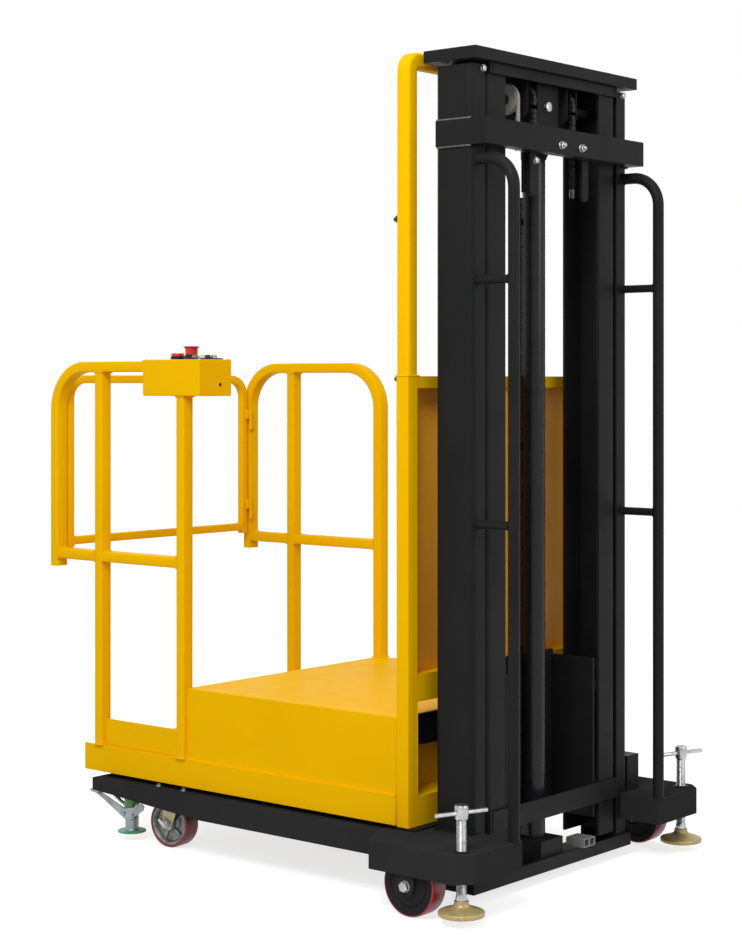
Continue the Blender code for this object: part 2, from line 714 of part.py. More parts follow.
def make_handles():
    """Bent tubes behind the mast, each on two standoffs and the outrigger."""
    seat = MAST_REAR_Y - TOUCH_GAP
    for name, side in SIDES:
        x = side * HANDLE_X
        flat = rounded([(seat, HANDLE_TOP), (HANDLE_Y, HANDLE_TOP),
                        (HANDLE_Y, OUTRIGGER_TOP + TOUCH_GAP)], [0.0, HANDLE_BEND, 0.0], 8)
        handle = tube(f"handle_{name}", [(x, y, z) for y, z in flat], HANDLE_RADIUS, BLACK)
        arms = [rod(f"standoff_{name}_{index}", (x, HANDLE_Y, z), (x, seat, z), STANDOFF_RADIUS,
                    segments=16) for index, z in enumerate(STANDOFF_HEIGHTS)]
        combine(handle, arms, "UNION")


def make_cylinder():
    """The barrel, which is hollow for the rod."""
    inner = BARREL_RADIUS - BARREL_WALL
    bottom = FOOT_TOP + TOUCH_GAP
    profile = [(BARREL_RADIUS, BARREL_TOP), (BARREL_RADIUS, bottom), (inner, bottom),
               (inner, BARREL_TOP)]
    turned("cylinder_barrel", profile, (0.0, CYLINDER_Y, 0.0), BLACK, segments=32, closed=True)


def over_sheave(reach):
    """The line of a chain or hose in Y and Z: up behind the sheave, over it and down to its anchor."""
    line = [(SHEAVE_Y - reach, CHAIN_REAR_END_Z)]
    for step in range(CHAIN_ARC_STEPS + 1):
        angle = math.pi * (1 - step / CHAIN_ARC_STEPS)
        line.append((SHEAVE_Y + reach * math.cos(angle), SHEAVE_Z + reach * math.sin(angle)))
    line.append((SHEAVE_Y + reach, CHAIN_ANCHOR_BOTTOM + CHAIN_ANCHOR_HEIGHT + TOUCH_GAP))
    return line


def make_inner_mast():
    """The lifted stage: channels, cap, tie, crosshead with sheaves, chains and piston rod."""
    items = []
    for name, side in SIDES:
        channel = prism(f"inner_mast_channel_{name}",
                        channel_outline(INNER_WEB_X, INNER_FLANGE, side), "z",
                        INNER_BOTTOM, CAP_BOTTOM - TOUCH_GAP, BLACK)
        rollers = []
        for index, z in enumerate(MAST_ROLLER_HEIGHTS):
            start = (side * (INNER_WEB_X - MAST_WALL / 2), MAST_MID_Y, z)
            end = (side * (INNER_WEB_X + ROLLER_WIDTH), MAST_MID_Y, z)
            rollers.append(rod(f"mast_roller_{name}_{index}", start, end, ROLLER_RADIUS))
        items.append(combine(channel, rollers, "UNION"))
    items.append(box("mast_cap", (-CAP_HALF_WIDTH, MAST_REAR_Y - CAP_REAR_OVERHANG, CAP_BOTTOM),
                     (CAP_HALF_WIDTH, MAST_FRONT_Y + CAP_FRONT_OVERHANG, HEIGHT), BLACK))
    back = MAST_REAR_Y - TOUCH_GAP
    half = INNER_WEB_X - 0.004
    for name, low_z, high_z in (
            ("mast_lower_tie", TIE_BOTTOM, TIE_BOTTOM + TIE_HEIGHT),
            ("mast_head_beam", CAP_BOTTOM - TOUCH_GAP - HEAD_BEAM_HEIGHT, CAP_BOTTOM - TOUCH_GAP)):
        items.append(box(name, (-half, back - TIE_THICKNESS, low_z), (half, back, high_z), BLACK))

    crosshead = box("mast_crosshead",
                    (-CROSSHEAD_HALF_WIDTH, SHEAVE_Y - CROSSHEAD_DEPTH / 2, CROSSHEAD_BOTTOM),
                    (CROSSHEAD_HALF_WIDTH, SHEAVE_Y + CROSSHEAD_DEPTH / 2, CAP_BOTTOM - TOUCH_GAP),
                    BLACK)
    reach = INNER_WEB_X - MAST_WALL - TOUCH_GAP
    wheels = [rod("sheave_shaft", (-reach, SHEAVE_Y, SHEAVE_Z), (reach, SHEAVE_Y, SHEAVE_Z),
                  SHAFT_RADIUS)]
    for name, side in SIDES:
        start = (side * CHAIN_X - SHEAVE_WIDTH / 2, SHEAVE_Y, SHEAVE_Z)
        end = (side * CHAIN_X + SHEAVE_WIDTH / 2, SHEAVE_Y, SHEAVE_Z)
        wheels.append(rod(f"chain_sheave_{name}", start, end, SHEAVE_RADIUS, segments=32))
    items.append(combine(crosshead, wheels, "UNION"))

    bore = SHAFT_RADIUS + TOUCH_GAP
    groove = HOSE_SHEAVE_RADIUS - HOSE_GROOVE_DEPTH
    half = HOSE_SHEAVE_WIDTH / 2
    profile = [(HOSE_SHEAVE_RADIUS, half), (groove, 0.0), (HOSE_SHEAVE_RADIUS, -half),
               (bore, -half), (bore, half)]
    items.append(turned("hose_sheave", profile, (HOSE_SHEAVE_X, SHEAVE_Y, SHEAVE_Z), GREY_PLASTIC,
                        axis="x", closed=True))

    slant = math.hypot(half, HOSE_GROOVE_DEPTH) / half
    line = over_sheave((groove + (HOSE_RADIUS + TOUCH_GAP) * slant) * ARC_ALLOWANCE)
    items.append(tube("lift_hose", [(HOSE_SHEAVE_X, y, z) for y, z in line], HOSE_RADIUS,
                      RUBBER))

    arc = over_sheave((SHEAVE_RADIUS + TOUCH_GAP) * ARC_ALLOWANCE + CHAIN_THICKNESS / 2)
    for name, side in SIDES:
        low = side * CHAIN_X - CHAIN_WIDTH / 2
        items.append(prism(f"lift_chain_{name}", band(arc, CHAIN_THICKNESS), "x",
                           low, low + CHAIN_WIDTH, DARK_STEEL))
    items.append(rod("piston_rod", (0.0, CYLINDER_Y, ROD_BOTTOM),
                     (0.0, CYLINDER_Y, CROSSHEAD_BOTTOM - TOUCH_GAP), ROD_RADIUS, CHROME))
    carried_by("inner_mast_slide", (0.0, MAST_MID_Y, INNER_BOTTOM), items)


def make_lift_bracket():
    """The black carriage that runs in the inner mast and carries the platform."""
    front = REAR_FRAME_Y - TOUCH_GAP
    rear = front - BRACKET_PLATE
    bracket = box("lift_bracket", (-BRACKET_HALF_WIDTH, rear, BRACKET_BOTTOM),
                  (BRACKET_HALF_WIDTH, front, BRACKET_TOP), BLACK)
    clear_of_chain = SHEAVE_Y + SHEAVE_RADIUS + CHAIN_THICKNESS + CHAIN_ANCHOR_ROOM
    clear_of_hose = SHEAVE_Y + HOSE_SHEAVE_RADIUS + 2 * HOSE_RADIUS + CHAIN_ANCHOR_ROOM
    anchor_top = CHAIN_ANCHOR_BOTTOM + CHAIN_ANCHOR_HEIGHT
    joined = [box("hose_anchor",
                  (HOSE_SHEAVE_X - HOSE_ANCHOR_HALF_WIDTH, clear_of_hose, CHAIN_ANCHOR_BOTTOM),
                  (HOSE_SHEAVE_X + HOSE_ANCHOR_HALF_WIDTH, front - BRACKET_PLATE / 2, anchor_top))]
    for name, side in SIDES:
        low, high = ordered(side * (BRACKET_HALF_WIDTH - BRACKET_PLATE), side * BRACKET_HALF_WIDTH)
        joined.append(box(f"bracket_side_{name}",
                          (low, MAST_REAR_Y + BRACKET_REAR_ROOM, BRACKET_BOTTOM),
                          (high, front - BRACKET_PLATE / 2, BRACKET_SIDE_TOP)))
        for index, z in enumerate(BRACKET_ROLLER_HEIGHTS):
            start = (side * (BRACKET_HALF_WIDTH - BRACKET_PLATE / 2), MAST_MID_Y, z)
            end = (side * (INNER_WEB_X - MAST_WALL - TOUCH_GAP), MAST_MID_Y, z)
            joined.append(rod(f"bracket_roller_{name}_{index}", start, end, ROLLER_RADIUS))
        joined.append(box(f"chain_anchor_{name}",
                          (side * CHAIN_X - CHAIN_WIDTH, clear_of_chain, CHAIN_ANCHOR_BOTTOM),
                          (side * CHAIN_X + CHAIN_WIDTH, front - BRACKET_PLATE / 2, anchor_top)))
    return combine(bracket, joined, "UNION")


def make_platform():
    """Deck tray, raised box, toe boards and the power unit inside the box."""
    items = []
    deck = box("platform_deck", (-PLATFORM_HALF_WIDTH, DECK_REAR_Y, PLATFORM_BOTTOM),
               (PLATFORM_HALF_WIDTH, PLATFORM_FRONT_Y, DECK_TOP + DECK_LIP), YELLOW)
    below = box("deck_hollow",
                (-PLATFORM_HALF_WIDTH + DECK_SHEET, DECK_REAR_Y - DECK_SHEET,
                 PLATFORM_BOTTOM - DECK_SHEET),
                (PLATFORM_HALF_WIDTH - DECK_SHEET, PLATFORM_FRONT_Y - DECK_SHEET,
                 DECK_TOP - DECK_SHEET))
    lip = BOX_HALF_WIDTH + TOUCH_GAP
    above = box("deck_recess", (-lip, DECK_REAR_Y - DECK_SHEET, DECK_TOP),
                (lip, PLATFORM_FRONT_Y + DECK_SHEET, DECK_TOP + 2 * DECK_LIP))
    items.append(combine(deck, [below, above], "DIFFERENCE"))

    floor = DECK_TOP + TOUCH_GAP
    shell = box("raised_box", (-BOX_HALF_WIDTH, DECK_REAR_Y, floor),
                (BOX_HALF_WIDTH, BOX_FRONT_Y, BOX_TOP), YELLOW)
    hollow = box("raised_box_hollow",
                 (-BOX_HALF_WIDTH + DECK_SHEET, DECK_REAR_Y - DECK_SHEET, floor - DECK_SHEET),
                 (BOX_HALF_WIDTH - DECK_SHEET, BOX_FRONT_Y - DECK_SHEET, BOX_TOP - DECK_SHEET))
    items.append(combine(shell, [hollow], "DIFFERENCE"))

    board_x = BOX_HALF_WIDTH - DECK_SHEET
    board_rear = RAIL_BRACED_POST_Y + RAIL_ALONG / 2 + TOUCH_GAP
    board_front = RAIL_POST_Y - RAIL_ALONG / 2 - TOUCH_GAP
    for name, side in SIDES:
        low, high = ordered(side * (board_x - DECK_SHEET), side * board_x)
        rear = board_rear if side < 0 else BOX_FRONT_Y + TOUCH_GAP
        items.append(box(f"toe_board_{name}", (low, rear, floor), (high, board_front, TOE_TOP),
                         YELLOW))
    unit_x = POWER_UNIT_SIDE_ROOM - BOX_HALF_WIDTH
    unit_y = DECK_REAR_Y + POWER_UNIT_REAR_ROOM
    items.append(box("power_unit", (unit_x, unit_y, floor),
                     (unit_x + POWER_UNIT_WIDTH, unit_y + POWER_UNIT_DEPTH,
                      BOX_TOP - POWER_UNIT_TOP_ROOM), NAVY))
    return items


def make_rear_frame():
    """The ladder frame with its recessed sheet, and the tall guard that stands on it."""
    low_y, high_y = REAR_FRAME_Y, REAR_FRAME_Y + REAR_FRAME_DEPTH
    frame = box("rear_frame", (-BOX_HALF_WIDTH, low_y, REAR_FRAME_BOTTOM),
                (BOX_HALF_WIDTH, high_y, REAR_FRAME_TOP), YELLOW)
    inside = BOX_HALF_WIDTH - REAR_POST
    window = box("rear_window", (-inside, low_y - 0.01, REAR_SILL_TOP),
                 (inside, high_y + 0.01, REAR_MID_BOTTOM))
    recess = box("panel_recess", (-inside, low_y - 0.01, REAR_MID_TOP),
                 (inside, high_y - DECK_SHEET, REAR_HEADER_BOTTOM))
    combine(frame, [window, recess], "DIFFERENCE")
    leg_x = BOX_HALF_WIDTH - GUARD_TUBE / 2 - TOUCH_GAP
    top_z = GUARD_TOP - GUARD_TUBE / 2
    bend = GUARD_CORNER - GUARD_TUBE / 2
    start = REAR_FRAME_TOP + TOUCH_GAP
    path = rounded([(-leg_x, start), (-leg_x, top_z), (leg_x, top_z), (leg_x, start)],
                   [0.0, bend, bend, 0.0], 5)
    guard = prism("upper_guard", band(path, GUARD_TUBE), "y", low_y + TOUCH_GAP,
                  low_y + TOUCH_GAP + GUARD_TUBE, YELLOW)
    return [frame, guard]


def make_rails():
    """Side rails: a hoop on two posts with a lower bar; the left one ends in the control box."""
    items = []
    centre_bend = RAIL_BEND - RAIL_ALONG / 2
    top_z = RAIL_TOP - RAIL_ALONG / 2
    ledge = DECK_TOP + DECK_LIP + TOUCH_GAP
    bar_top = RAIL_BAR_BOTTOM + RAIL_BAR_HEIGHT
    for name, side in SIDES:
        if side < 0:
            corners = [(RAIL_FRONT_Y, RAIL_FRONT_BOTTOM), (RAIL_FRONT_Y, top_z),
                       (CONTROL_HIGH[1] + TOUCH_GAP, top_z)]
            bends = [0.0, centre_bend, 0.0]
            rear_post = RAIL_BRACED_POST_Y
        else:
            corners = [(RAIL_FRONT_Y, RAIL_FRONT_BOTTOM), (RAIL_FRONT_Y, top_z),
                       (RAIL_REAR_LEG_Y, top_z), (RAIL_REAR_LEG_Y, BOX_TOP + TOUCH_GAP)]
            bends = [0.0, centre_bend, centre_bend, 0.0]
            rear_post = RAIL_REAR_LEG_Y
        middle = side * RAIL_X
        hoop = prism(f"side_rail_{name}", band(rounded(corners, bends, 8), RAIL_ALONG), "x",
                     middle - RAIL_ACROSS / 2, middle + RAIL_ACROSS / 2, YELLOW)
        low, high = middle - INFILL_ACROSS / 2, middle + INFILL_ACROSS / 2
        infill = [
            box(f"rail_bar_{name}", (low, rear_post, RAIL_BAR_BOTTOM),
                (high, RAIL_FRONT_Y, bar_top)),
            box(f"rail_post_{name}", (low, RAIL_POST_Y - RAIL_ALONG / 2, ledge),
                (high, RAIL_POST_Y + RAIL_ALONG / 2, top_z)),
        ]
        if side < 0:
            infill.append(box("rail_braced_post", (low, rear_post - RAIL_ALONG / 2, ledge),
                              (high, rear_post + RAIL_ALONG / 2, CONTROL_LOW[2] - TOUCH_GAP)))
        else:
            for index, z in enumerate(HINGE_HEIGHTS):
                infill.append(rod(f"rail_knuckle_{index}", (HINGE_X, HINGE_Y, z),
                                  (HINGE_X, HINGE_Y, z + HINGE_KNUCKLE), HINGE_RADIUS, segments=12))
                infill.append(box(f"rail_leaf_{index}", (HINGE_X, HINGE_Y - 0.001, z + 0.001),
                                  (HINGE_X + 0.016, HINGE_Y + 0.008, z + HINGE_KNUCKLE - 0.001)))
        items.append(combine(hoop, infill, "UNION"))
    return items


def make_controls():
    """The control box on the left rail and its stop button."""
    panel = box("control_box", CONTROL_LOW, CONTROL_HIGH, YELLOW)
    stem = STOP_BUTTON_RADIUS * 0.78
    base = CONTROL_HIGH[2] + TOUCH_GAP
    head = base + STOP_BUTTON_HEIGHT
    profile = [(0.0, head), (STOP_BUTTON_RADIUS, head), (STOP_BUTTON_RADIUS, head - 0.003),
               (stem, head - 0.007), (stem, base), (0.0, base)]
    spot = (STOP_BUTTON_INSET - RAIL_X, CONTROL_HIGH[1] - STOP_BUTTON_SETBACK, 0.0)
    button = turned("stop_button", profile, spot, SIGNAL_RED, segments=24)
    return [panel, button]


def make_gate():
    """An inverted U of square tube with a lower bar, on two pin hinges."""
    start = GATE_BOTTOM
    top_z = GATE_TOP - GATE_TUBE / 2
    bend = GATE_BEND - GATE_TUBE / 2
    path = rounded([(-GATE_LEG_X, start), (-GATE_LEG_X, top_z), (GATE_LEG_X, top_z),
                    (GATE_LEG_X, start)], [0.0, bend, bend, 0.0], 6)
    low_y = RAIL_FRONT_Y - GATE_TUBE / 2
    hoop = prism("gate", band(path, GATE_TUBE), "y", low_y, low_y + GATE_TUBE, YELLOW)
    joined = [box("gate_bar", (-GATE_LEG_X, low_y + 0.001, GATE_BAR_BOTTOM),
                  (GATE_LEG_X, low_y + GATE_TUBE - 0.001, GATE_BAR_BOTTOM + GATE_TUBE))]
    for index, height in enumerate(HINGE_HEIGHTS):
        z = height + HINGE_KNUCKLE + TOUCH_GAP
        joined.append(rod(f"gate_knuckle_{index}", (HINGE_X, HINGE_Y, z),
                          (HINGE_X, HINGE_Y, z + HINGE_KNUCKLE), HINGE_RADIUS, segments=12))
        joined.append(box(f"gate_leaf_{index}", (HINGE_X - 0.016, HINGE_Y - 0.001, z + 0.001),
                          (HINGE_X, HINGE_Y + 0.010, z + HINGE_KNUCKLE - 0.001)))
    combine(hoop, joined, "UNION")
    carried_by("gate_hinge", (HINGE_X, HINGE_Y, GATE_BOTTOM), [hoop])
    return hoop


def make_rear_wheels():
    bore = AXLE_RADIUS + TOUCH_GAP
    half = REAR_WHEEL_WIDTH / 2
    rim = REAR_WHEEL_RADIUS
    profile = [(rim, half - 0.004), (rim, -half + 0.004), (rim - 0.004, -half), (bore, -half),
               (bore, half), (rim - 0.004, half)]
    for name, side in SIDES:
        turned(f"rear_wheel_{name}", profile, (side * REAR_WHEEL_X, REAR_WHEEL_Y, rim), TREAD_RED,
               axis="x", segments=40, closed=True)


def make_casters():
    """Swivel forks, each turned as it stands, with its wheel a little ahead of the pin."""
    crown_low = 2 * CASTER_RADIUS + RUNNING_GAP
    head_top = LEG_TOP - PLATE - TOUCH_GAP
    half = CASTER_WIDTH / 2 + RUNNING_GAP - 0.001
    for name, side in SIDES:
        top = CASTER_FORK_TOP_WIDTH / 2
        tip = CASTER_FORK_TIP_RADIUS
        crown = box(f"caster_fork_{name}", (-half - CASTER_FORK_PLATE, -top, crown_low),
                    (half + CASTER_FORK_PLATE, top, crown_low + CASTER_CROWN), BRASSY)
        joined = [rod(f"caster_head_{name}", (0, 0, crown_low + CASTER_CROWN / 2),
                      (0, 0, head_top), CASTER_HEAD_RADIUS)]
        corners = [(-top, crown_low + CASTER_CROWN / 2),
                   (CASTER_TRAIL - tip, CASTER_RADIUS - tip),
                   (CASTER_TRAIL + tip, CASTER_RADIUS - tip),
                   (top, crown_low + CASTER_CROWN / 2)]
        cheek = rounded(corners, [0.0, tip * 0.8, tip * 0.8, 0.0], 5)
        for label, low in (("left", -half - CASTER_FORK_PLATE), ("right", half)):
            joined.append(prism(f"caster_cheek_{label}_{name}", cheek, "x", low,
                                low + CASTER_FORK_PLATE))
        reach = half + CASTER_FORK_PLATE + 0.006
        joined.append(rod(f"caster_axle_{name}", (-reach, CASTER_TRAIL, CASTER_RADIUS),
                          (reach, CASTER_TRAIL, CASTER_RADIUS), AXLE_RADIUS - 0.002))
        combine(crown, joined, "UNION")
        angle = math.radians(CASTER_REST_ANGLES[name])
        spot = Vector((side * CASTER_X, CASTER_Y, 0.0))
        turn = Matrix.Translation(spot) @ Matrix.Rotation(angle, 4, "Z")
        crown.matrix_world = turn
        for piece in joined:
            piece.matrix_world = turn @ piece.matrix_world
        bore = AXLE_RADIUS - 0.002 + TOUCH_GAP
        rim = CASTER_RADIUS
        edge = CASTER_WIDTH / 2
        profile = [(rim, edge - 0.004), (rim, -edge + 0.004), (rim - 0.003, -edge), (bore, -edge),
                   (bore, edge), (rim - 0.003, edge)]
        centre = turn @ Vector((0.0, CASTER_TRAIL, CASTER_RADIUS))
        wheel = turned(f"caster_wheel_{name}", profile, centre, TREAD_RED, axis="x", segments=40,
                       closed=True)
        wheel.rotation_euler = (0.0, math.radians(90.0), angle)


def make_jacks():
    """Screws with a swivel pad below and a sliding bar through the head."""
    pad = JACK_PAD_LIFT
    neck = pad + JACK_PAD_HEIGHT
    collar = JACK_TOP - JACK_HEAD_HEIGHT
    profile = [
        (0.0, JACK_TOP),
        (JACK_HEAD_RADIUS, JACK_TOP),
        (JACK_HEAD_RADIUS, collar),
        (JACK_SCREW_RADIUS, collar),
        (JACK_SCREW_RADIUS, neck),
        (0.017, neck),
        (0.018, neck - 0.008),
        (0.024, neck - 0.016),
        (JACK_PAD_RADIUS - 0.006, pad + 0.013),
        (JACK_PAD_RADIUS, pad + 0.009),
        (JACK_PAD_RADIUS, pad + 0.003),
        (JACK_PAD_RADIUS - 0.003, pad),
        (0.0, pad),
    ]
    bar_z = JACK_TOP - 0.019
    for name, side in SIDES:
        x = side * JACK_X
        screw = turned(f"jack_{name}", profile, (x, JACK_Y, 0.0), ZINC)
        angle = math.radians(JACK_BAR_ANGLE)
        reach = Vector((math.cos(angle), math.sin(angle), 0.0)) * (JACK_BAR_LENGTH / 2)
        centre = Vector((x, JACK_Y, bar_z))
        bar = rod(f"jack_bar_{name}", centre - reach, centre + reach, JACK_BAR_RADIUS, segments=12)
        combine(screw, [bar], "UNION")


def make_floor_locks():
    """A sleeve with its link and pedal on each leg, and the pad that slides in it."""
    roof = LEG_TOP - PLATE - TOUCH_GAP
    bore = LOCK_STEM_RADIUS + TOUCH_GAP
    for name, side in SIDES:
        x = side * LOCK_X
        profile = [(LOCK_SLEEVE_RADIUS, roof), (LOCK_SLEEVE_RADIUS, LOCK_SLEEVE_BOTTOM),
                   (bore, LOCK_SLEEVE_BOTTOM), (bore, roof)]
        sleeve = turned(f"floor_lock_{name}", profile, (x, LOCK_Y, 0.0), ZINC, segments=24,
                        closed=True)
        knee_y, knee_z = LOCK_LINK_KNEE
        path = [(LOCK_Y - LOCK_LINK_REACH, LOCK_LINK_END_Z), (LOCK_Y + knee_y, knee_z),
                (LOCK_PEDAL_Y, LOCK_PEDAL_Z)]
        start = x + side * (LOCK_SLEEVE_RADIUS - 0.003)
        low, high = ordered(start, start + side * (LOCK_LINK_THICKNESS + 0.003))
        link = prism(f"lock_link_{name}", band(path, LOCK_LINK_WIDTH), "x", low, high)
        pedal = box(f"lock_pedal_{name}", (x - 0.022, LOCK_PEDAL_Y - 0.012, LOCK_PEDAL_Z - 0.004),
                    (x + 0.022, LOCK_PEDAL_Y + 0.012, LOCK_PEDAL_Z + 0.004))
        combine(sleeve, [link, pedal], "UNION")
        base = LOCK_PAD_LIFT
        top = base + LOCK_PAD_THICKNESS
        pad_profile = [(0.0, roof - 0.030), (LOCK_STEM_RADIUS, roof - 0.030),
                       (LOCK_STEM_RADIUS, top + 0.006), (LOCK_STEM_RADIUS + 0.006, top),
                       (LOCK_PAD_RADIUS - 0.003, top), (LOCK_PAD_RADIUS, top - 0.003),
                       (LOCK_PAD_RADIUS, base), (0.0, base)]
        turned(f"floor_lock_pad_{name}", pad_profile, (x, LOCK_Y, 0.0), GREEN)


def main():
    make_outriggers()
    make_legs()
    make_base()
    make_outer_mast()
    make_handles()
    make_cylinder()
    make_inner_mast()
    carriage = [make_lift_bracket()]
    carriage += make_platform()
    carriage += make_rear_frame()
    carriage += make_rails()
    carriage += make_controls()
    carried_by("carriage_slide", (0.0, MAST_MID_Y, BRACKET_BOTTOM), carriage)
    make_gate()
    make_rear_wheels()
    make_casters()
    make_jacks()
    make_floor_locks()


main()
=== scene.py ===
"""Looks of an order picker truck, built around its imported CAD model.

Metres, +Z up, +Y towards the entry gate. Left is -X for someone who faces the gate.
"""

import json
import math

import bmesh
import bpy
from mathutils import Matrix, Vector

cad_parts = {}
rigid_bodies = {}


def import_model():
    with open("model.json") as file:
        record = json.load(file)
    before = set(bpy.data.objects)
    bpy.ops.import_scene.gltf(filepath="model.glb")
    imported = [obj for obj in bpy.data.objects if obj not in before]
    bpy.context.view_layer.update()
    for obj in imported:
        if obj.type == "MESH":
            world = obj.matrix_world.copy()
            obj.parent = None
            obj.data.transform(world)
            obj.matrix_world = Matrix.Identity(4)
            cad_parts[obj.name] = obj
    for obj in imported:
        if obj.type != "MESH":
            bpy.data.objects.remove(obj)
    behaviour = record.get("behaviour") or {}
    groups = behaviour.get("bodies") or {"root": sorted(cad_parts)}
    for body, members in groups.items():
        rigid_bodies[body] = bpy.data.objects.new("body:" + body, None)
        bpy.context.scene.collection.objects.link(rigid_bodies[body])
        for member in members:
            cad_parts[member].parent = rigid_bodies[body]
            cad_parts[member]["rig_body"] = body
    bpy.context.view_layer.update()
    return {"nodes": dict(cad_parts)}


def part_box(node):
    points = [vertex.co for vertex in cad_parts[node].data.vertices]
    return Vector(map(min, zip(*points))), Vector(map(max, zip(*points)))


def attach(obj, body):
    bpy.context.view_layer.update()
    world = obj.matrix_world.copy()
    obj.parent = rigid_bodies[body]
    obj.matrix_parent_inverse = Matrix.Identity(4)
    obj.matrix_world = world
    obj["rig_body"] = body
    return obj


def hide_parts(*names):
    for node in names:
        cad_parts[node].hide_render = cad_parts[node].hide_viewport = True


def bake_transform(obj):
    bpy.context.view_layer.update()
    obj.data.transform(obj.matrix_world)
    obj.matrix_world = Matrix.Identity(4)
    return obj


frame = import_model()
NODES = frame["nodes"]
SIDES = (("left", -1.0), ("right", 1.0))
X, Y, Z = Vector((1, 0, 0)), Vector((0, 1, 0)), Vector((0, 0, 1))

# Sizes shared with the CAD model
MAST_REAR_Y = -0.631
MAST_FRONT_Y = -0.521
SHEAVE_Y = -0.581
SHEAVE_Z = 1.893
SHEAVE_RADIUS = 0.041
CHAIN_X = 0.083
CHEEK_OUT = 0.0215
RAIL_X = 0.382
RAIL_SECTION = (0.038, 0.028)
INFILL_SECTION = (0.036, 0.028)
TUBE_CORNER = 0.004
LOCK_RIVETS = ((0.0071, 0.0681), (-0.024, 0.0673), (0.1046, 0.1107))
GUARD_TUBE = 0.038
HOSE_X = -0.129
CASTER_ANGLES = {"left": 5.0, "right": 8.0}


# Materials


def texture(tree, scale, detail=3.0, stretch=(1.0, 1.0, 1.0)):
    """Noise in the piece's own space, stretched along one way if asked."""
    coordinates = tree.nodes.new("ShaderNodeTexCoord")
    mapping = tree.nodes.new("ShaderNodeMapping")
    mapping.inputs["Scale"].default_value = stretch
    noise = tree.nodes.new("ShaderNodeTexNoise")
    noise.inputs["Scale"].default_value = scale
    noise.inputs["Detail"].default_value = detail
    tree.links.new(coordinates.outputs["Object"], mapping.inputs["Vector"])
    tree.links.new(mapping.outputs["Vector"], noise.inputs["Vector"])
    return noise.outputs[0]


def spread(tree, source, low, high, start=0.35, end=0.65):
    """Turn a texture into values from low to high."""
    node = tree.nodes.new("ShaderNodeMapRange")
    node.inputs["From Min"].default_value = start
    node.inputs["From Max"].default_value = end
    node.inputs["To Min"].default_value = low
    node.inputs["To Max"].default_value = high
    tree.links.new(source, node.inputs["Value"])
    return node.outputs["Result"]


def mixed(tree, share, first, second):
    """Mix two colours, each a tuple or another node's output."""
    node = tree.nodes.new("ShaderNodeMix")
    node.data_type = "RGBA"
    tree.links.new(share, node.inputs[0])
    for socket, value in ((node.inputs[6], first), (node.inputs[7], second)):
        if isinstance(value, tuple):
            socket.default_value = (*value, 1.0)
        else:
            tree.links.new(value, socket)
    return node.outputs[2]


def surface(name, colour, second, roughness, metallic=0.0, cloud=40.0, grain=500.0,
            depth=0.00003, stretch=(1.0, 1.0, 1.0), specular=0.5, top_colour=None):
    """A finish in two close colours, with uneven gloss, a fine grain and a second colour in patches
    on what faces up.
    """
    material = bpy.data.materials.new(name)
    material.use_nodes = True
    tree = material.node_tree
    shader = tree.nodes["Principled BSDF"]
    shader.inputs["Metallic"].default_value = metallic
    shader.inputs["Specular IOR Level"].default_value = specular
    base = mixed(tree, spread(tree, texture(tree, cloud, 4.0, stretch), 0.0, 1.0), colour, second)
    # A second colour in patches on faces that point up; on the yellow coat it is painted light.
    if top_colour is not None:
        normal = tree.nodes.new("ShaderNodeNewGeometry")
        split = tree.nodes.new("ShaderNodeSeparateXYZ")
        tree.links.new(normal.outputs["Normal"], split.inputs["Vector"])
        facing_up = spread(tree, split.outputs["Z"], 0.0, 1.0, 0.6, 1.0)
        patches = spread(tree, texture(tree, 14.0, 5.0), 0.05, 0.55, 0.4, 0.7)
        both = tree.nodes.new("ShaderNodeMath")
        both.operation = "MULTIPLY"
        tree.links.new(facing_up, both.inputs[0])
        tree.links.new(patches, both.inputs[1])
        base = mixed(tree, both.outputs[0], base, top_colour)
    tree.links.new(base, shader.inputs["Base Color"])
    gloss = spread(tree, texture(tree, cloud * 4.0, 4.0, stretch), *roughness)
    tree.links.new(gloss, shader.inputs["Roughness"])
    bump = tree.nodes.new("ShaderNodeBump")
    bump.inputs["Distance"].default_value = depth
    bump.inputs["Strength"].default_value = 1.0
    tree.links.new(texture(tree, grain, 2.0, stretch), bump.inputs["Height"])
    tree.links.new(bump.outputs["Normal"], shader.inputs["Normal"])
    return material


# Its top colour is a cleaner, lighter yellow on what faces up: painted light on the tops.
YELLOW = surface("yellow_powder_coat", (0.87, 0.475, 0.0), (0.84, 0.455, 0.0), (0.38, 0.48),
                 cloud=3.0, specular=0.02, top_colour=(0.88, 0.52, 0.0))
# An orange copy of the yellow coat: painted shade and painted yellow bounce light for the panel's
# recessed rear face.
PAINTED_SHADE_YELLOW = surface("painted_shade_orange", (1.0, 0.44, 0.03), (0.93, 0.37, 0.02), (0.40, 0.52),
                       cloud=6.0, specular=0.12, stretch=(1.0, 1.0, 0.3))
# Its top colour is a slightly lighter warm grey in patches on what faces up.
BLACK = surface("black_powder_coat", (0.0110, 0.0112, 0.0117), (0.0145, 0.0145, 0.0149),
                (0.38, 0.50), cloud=5.0, grain=700.0, depth=0.00005, specular=0.07,
                top_colour=(0.016, 0.0155, 0.015))
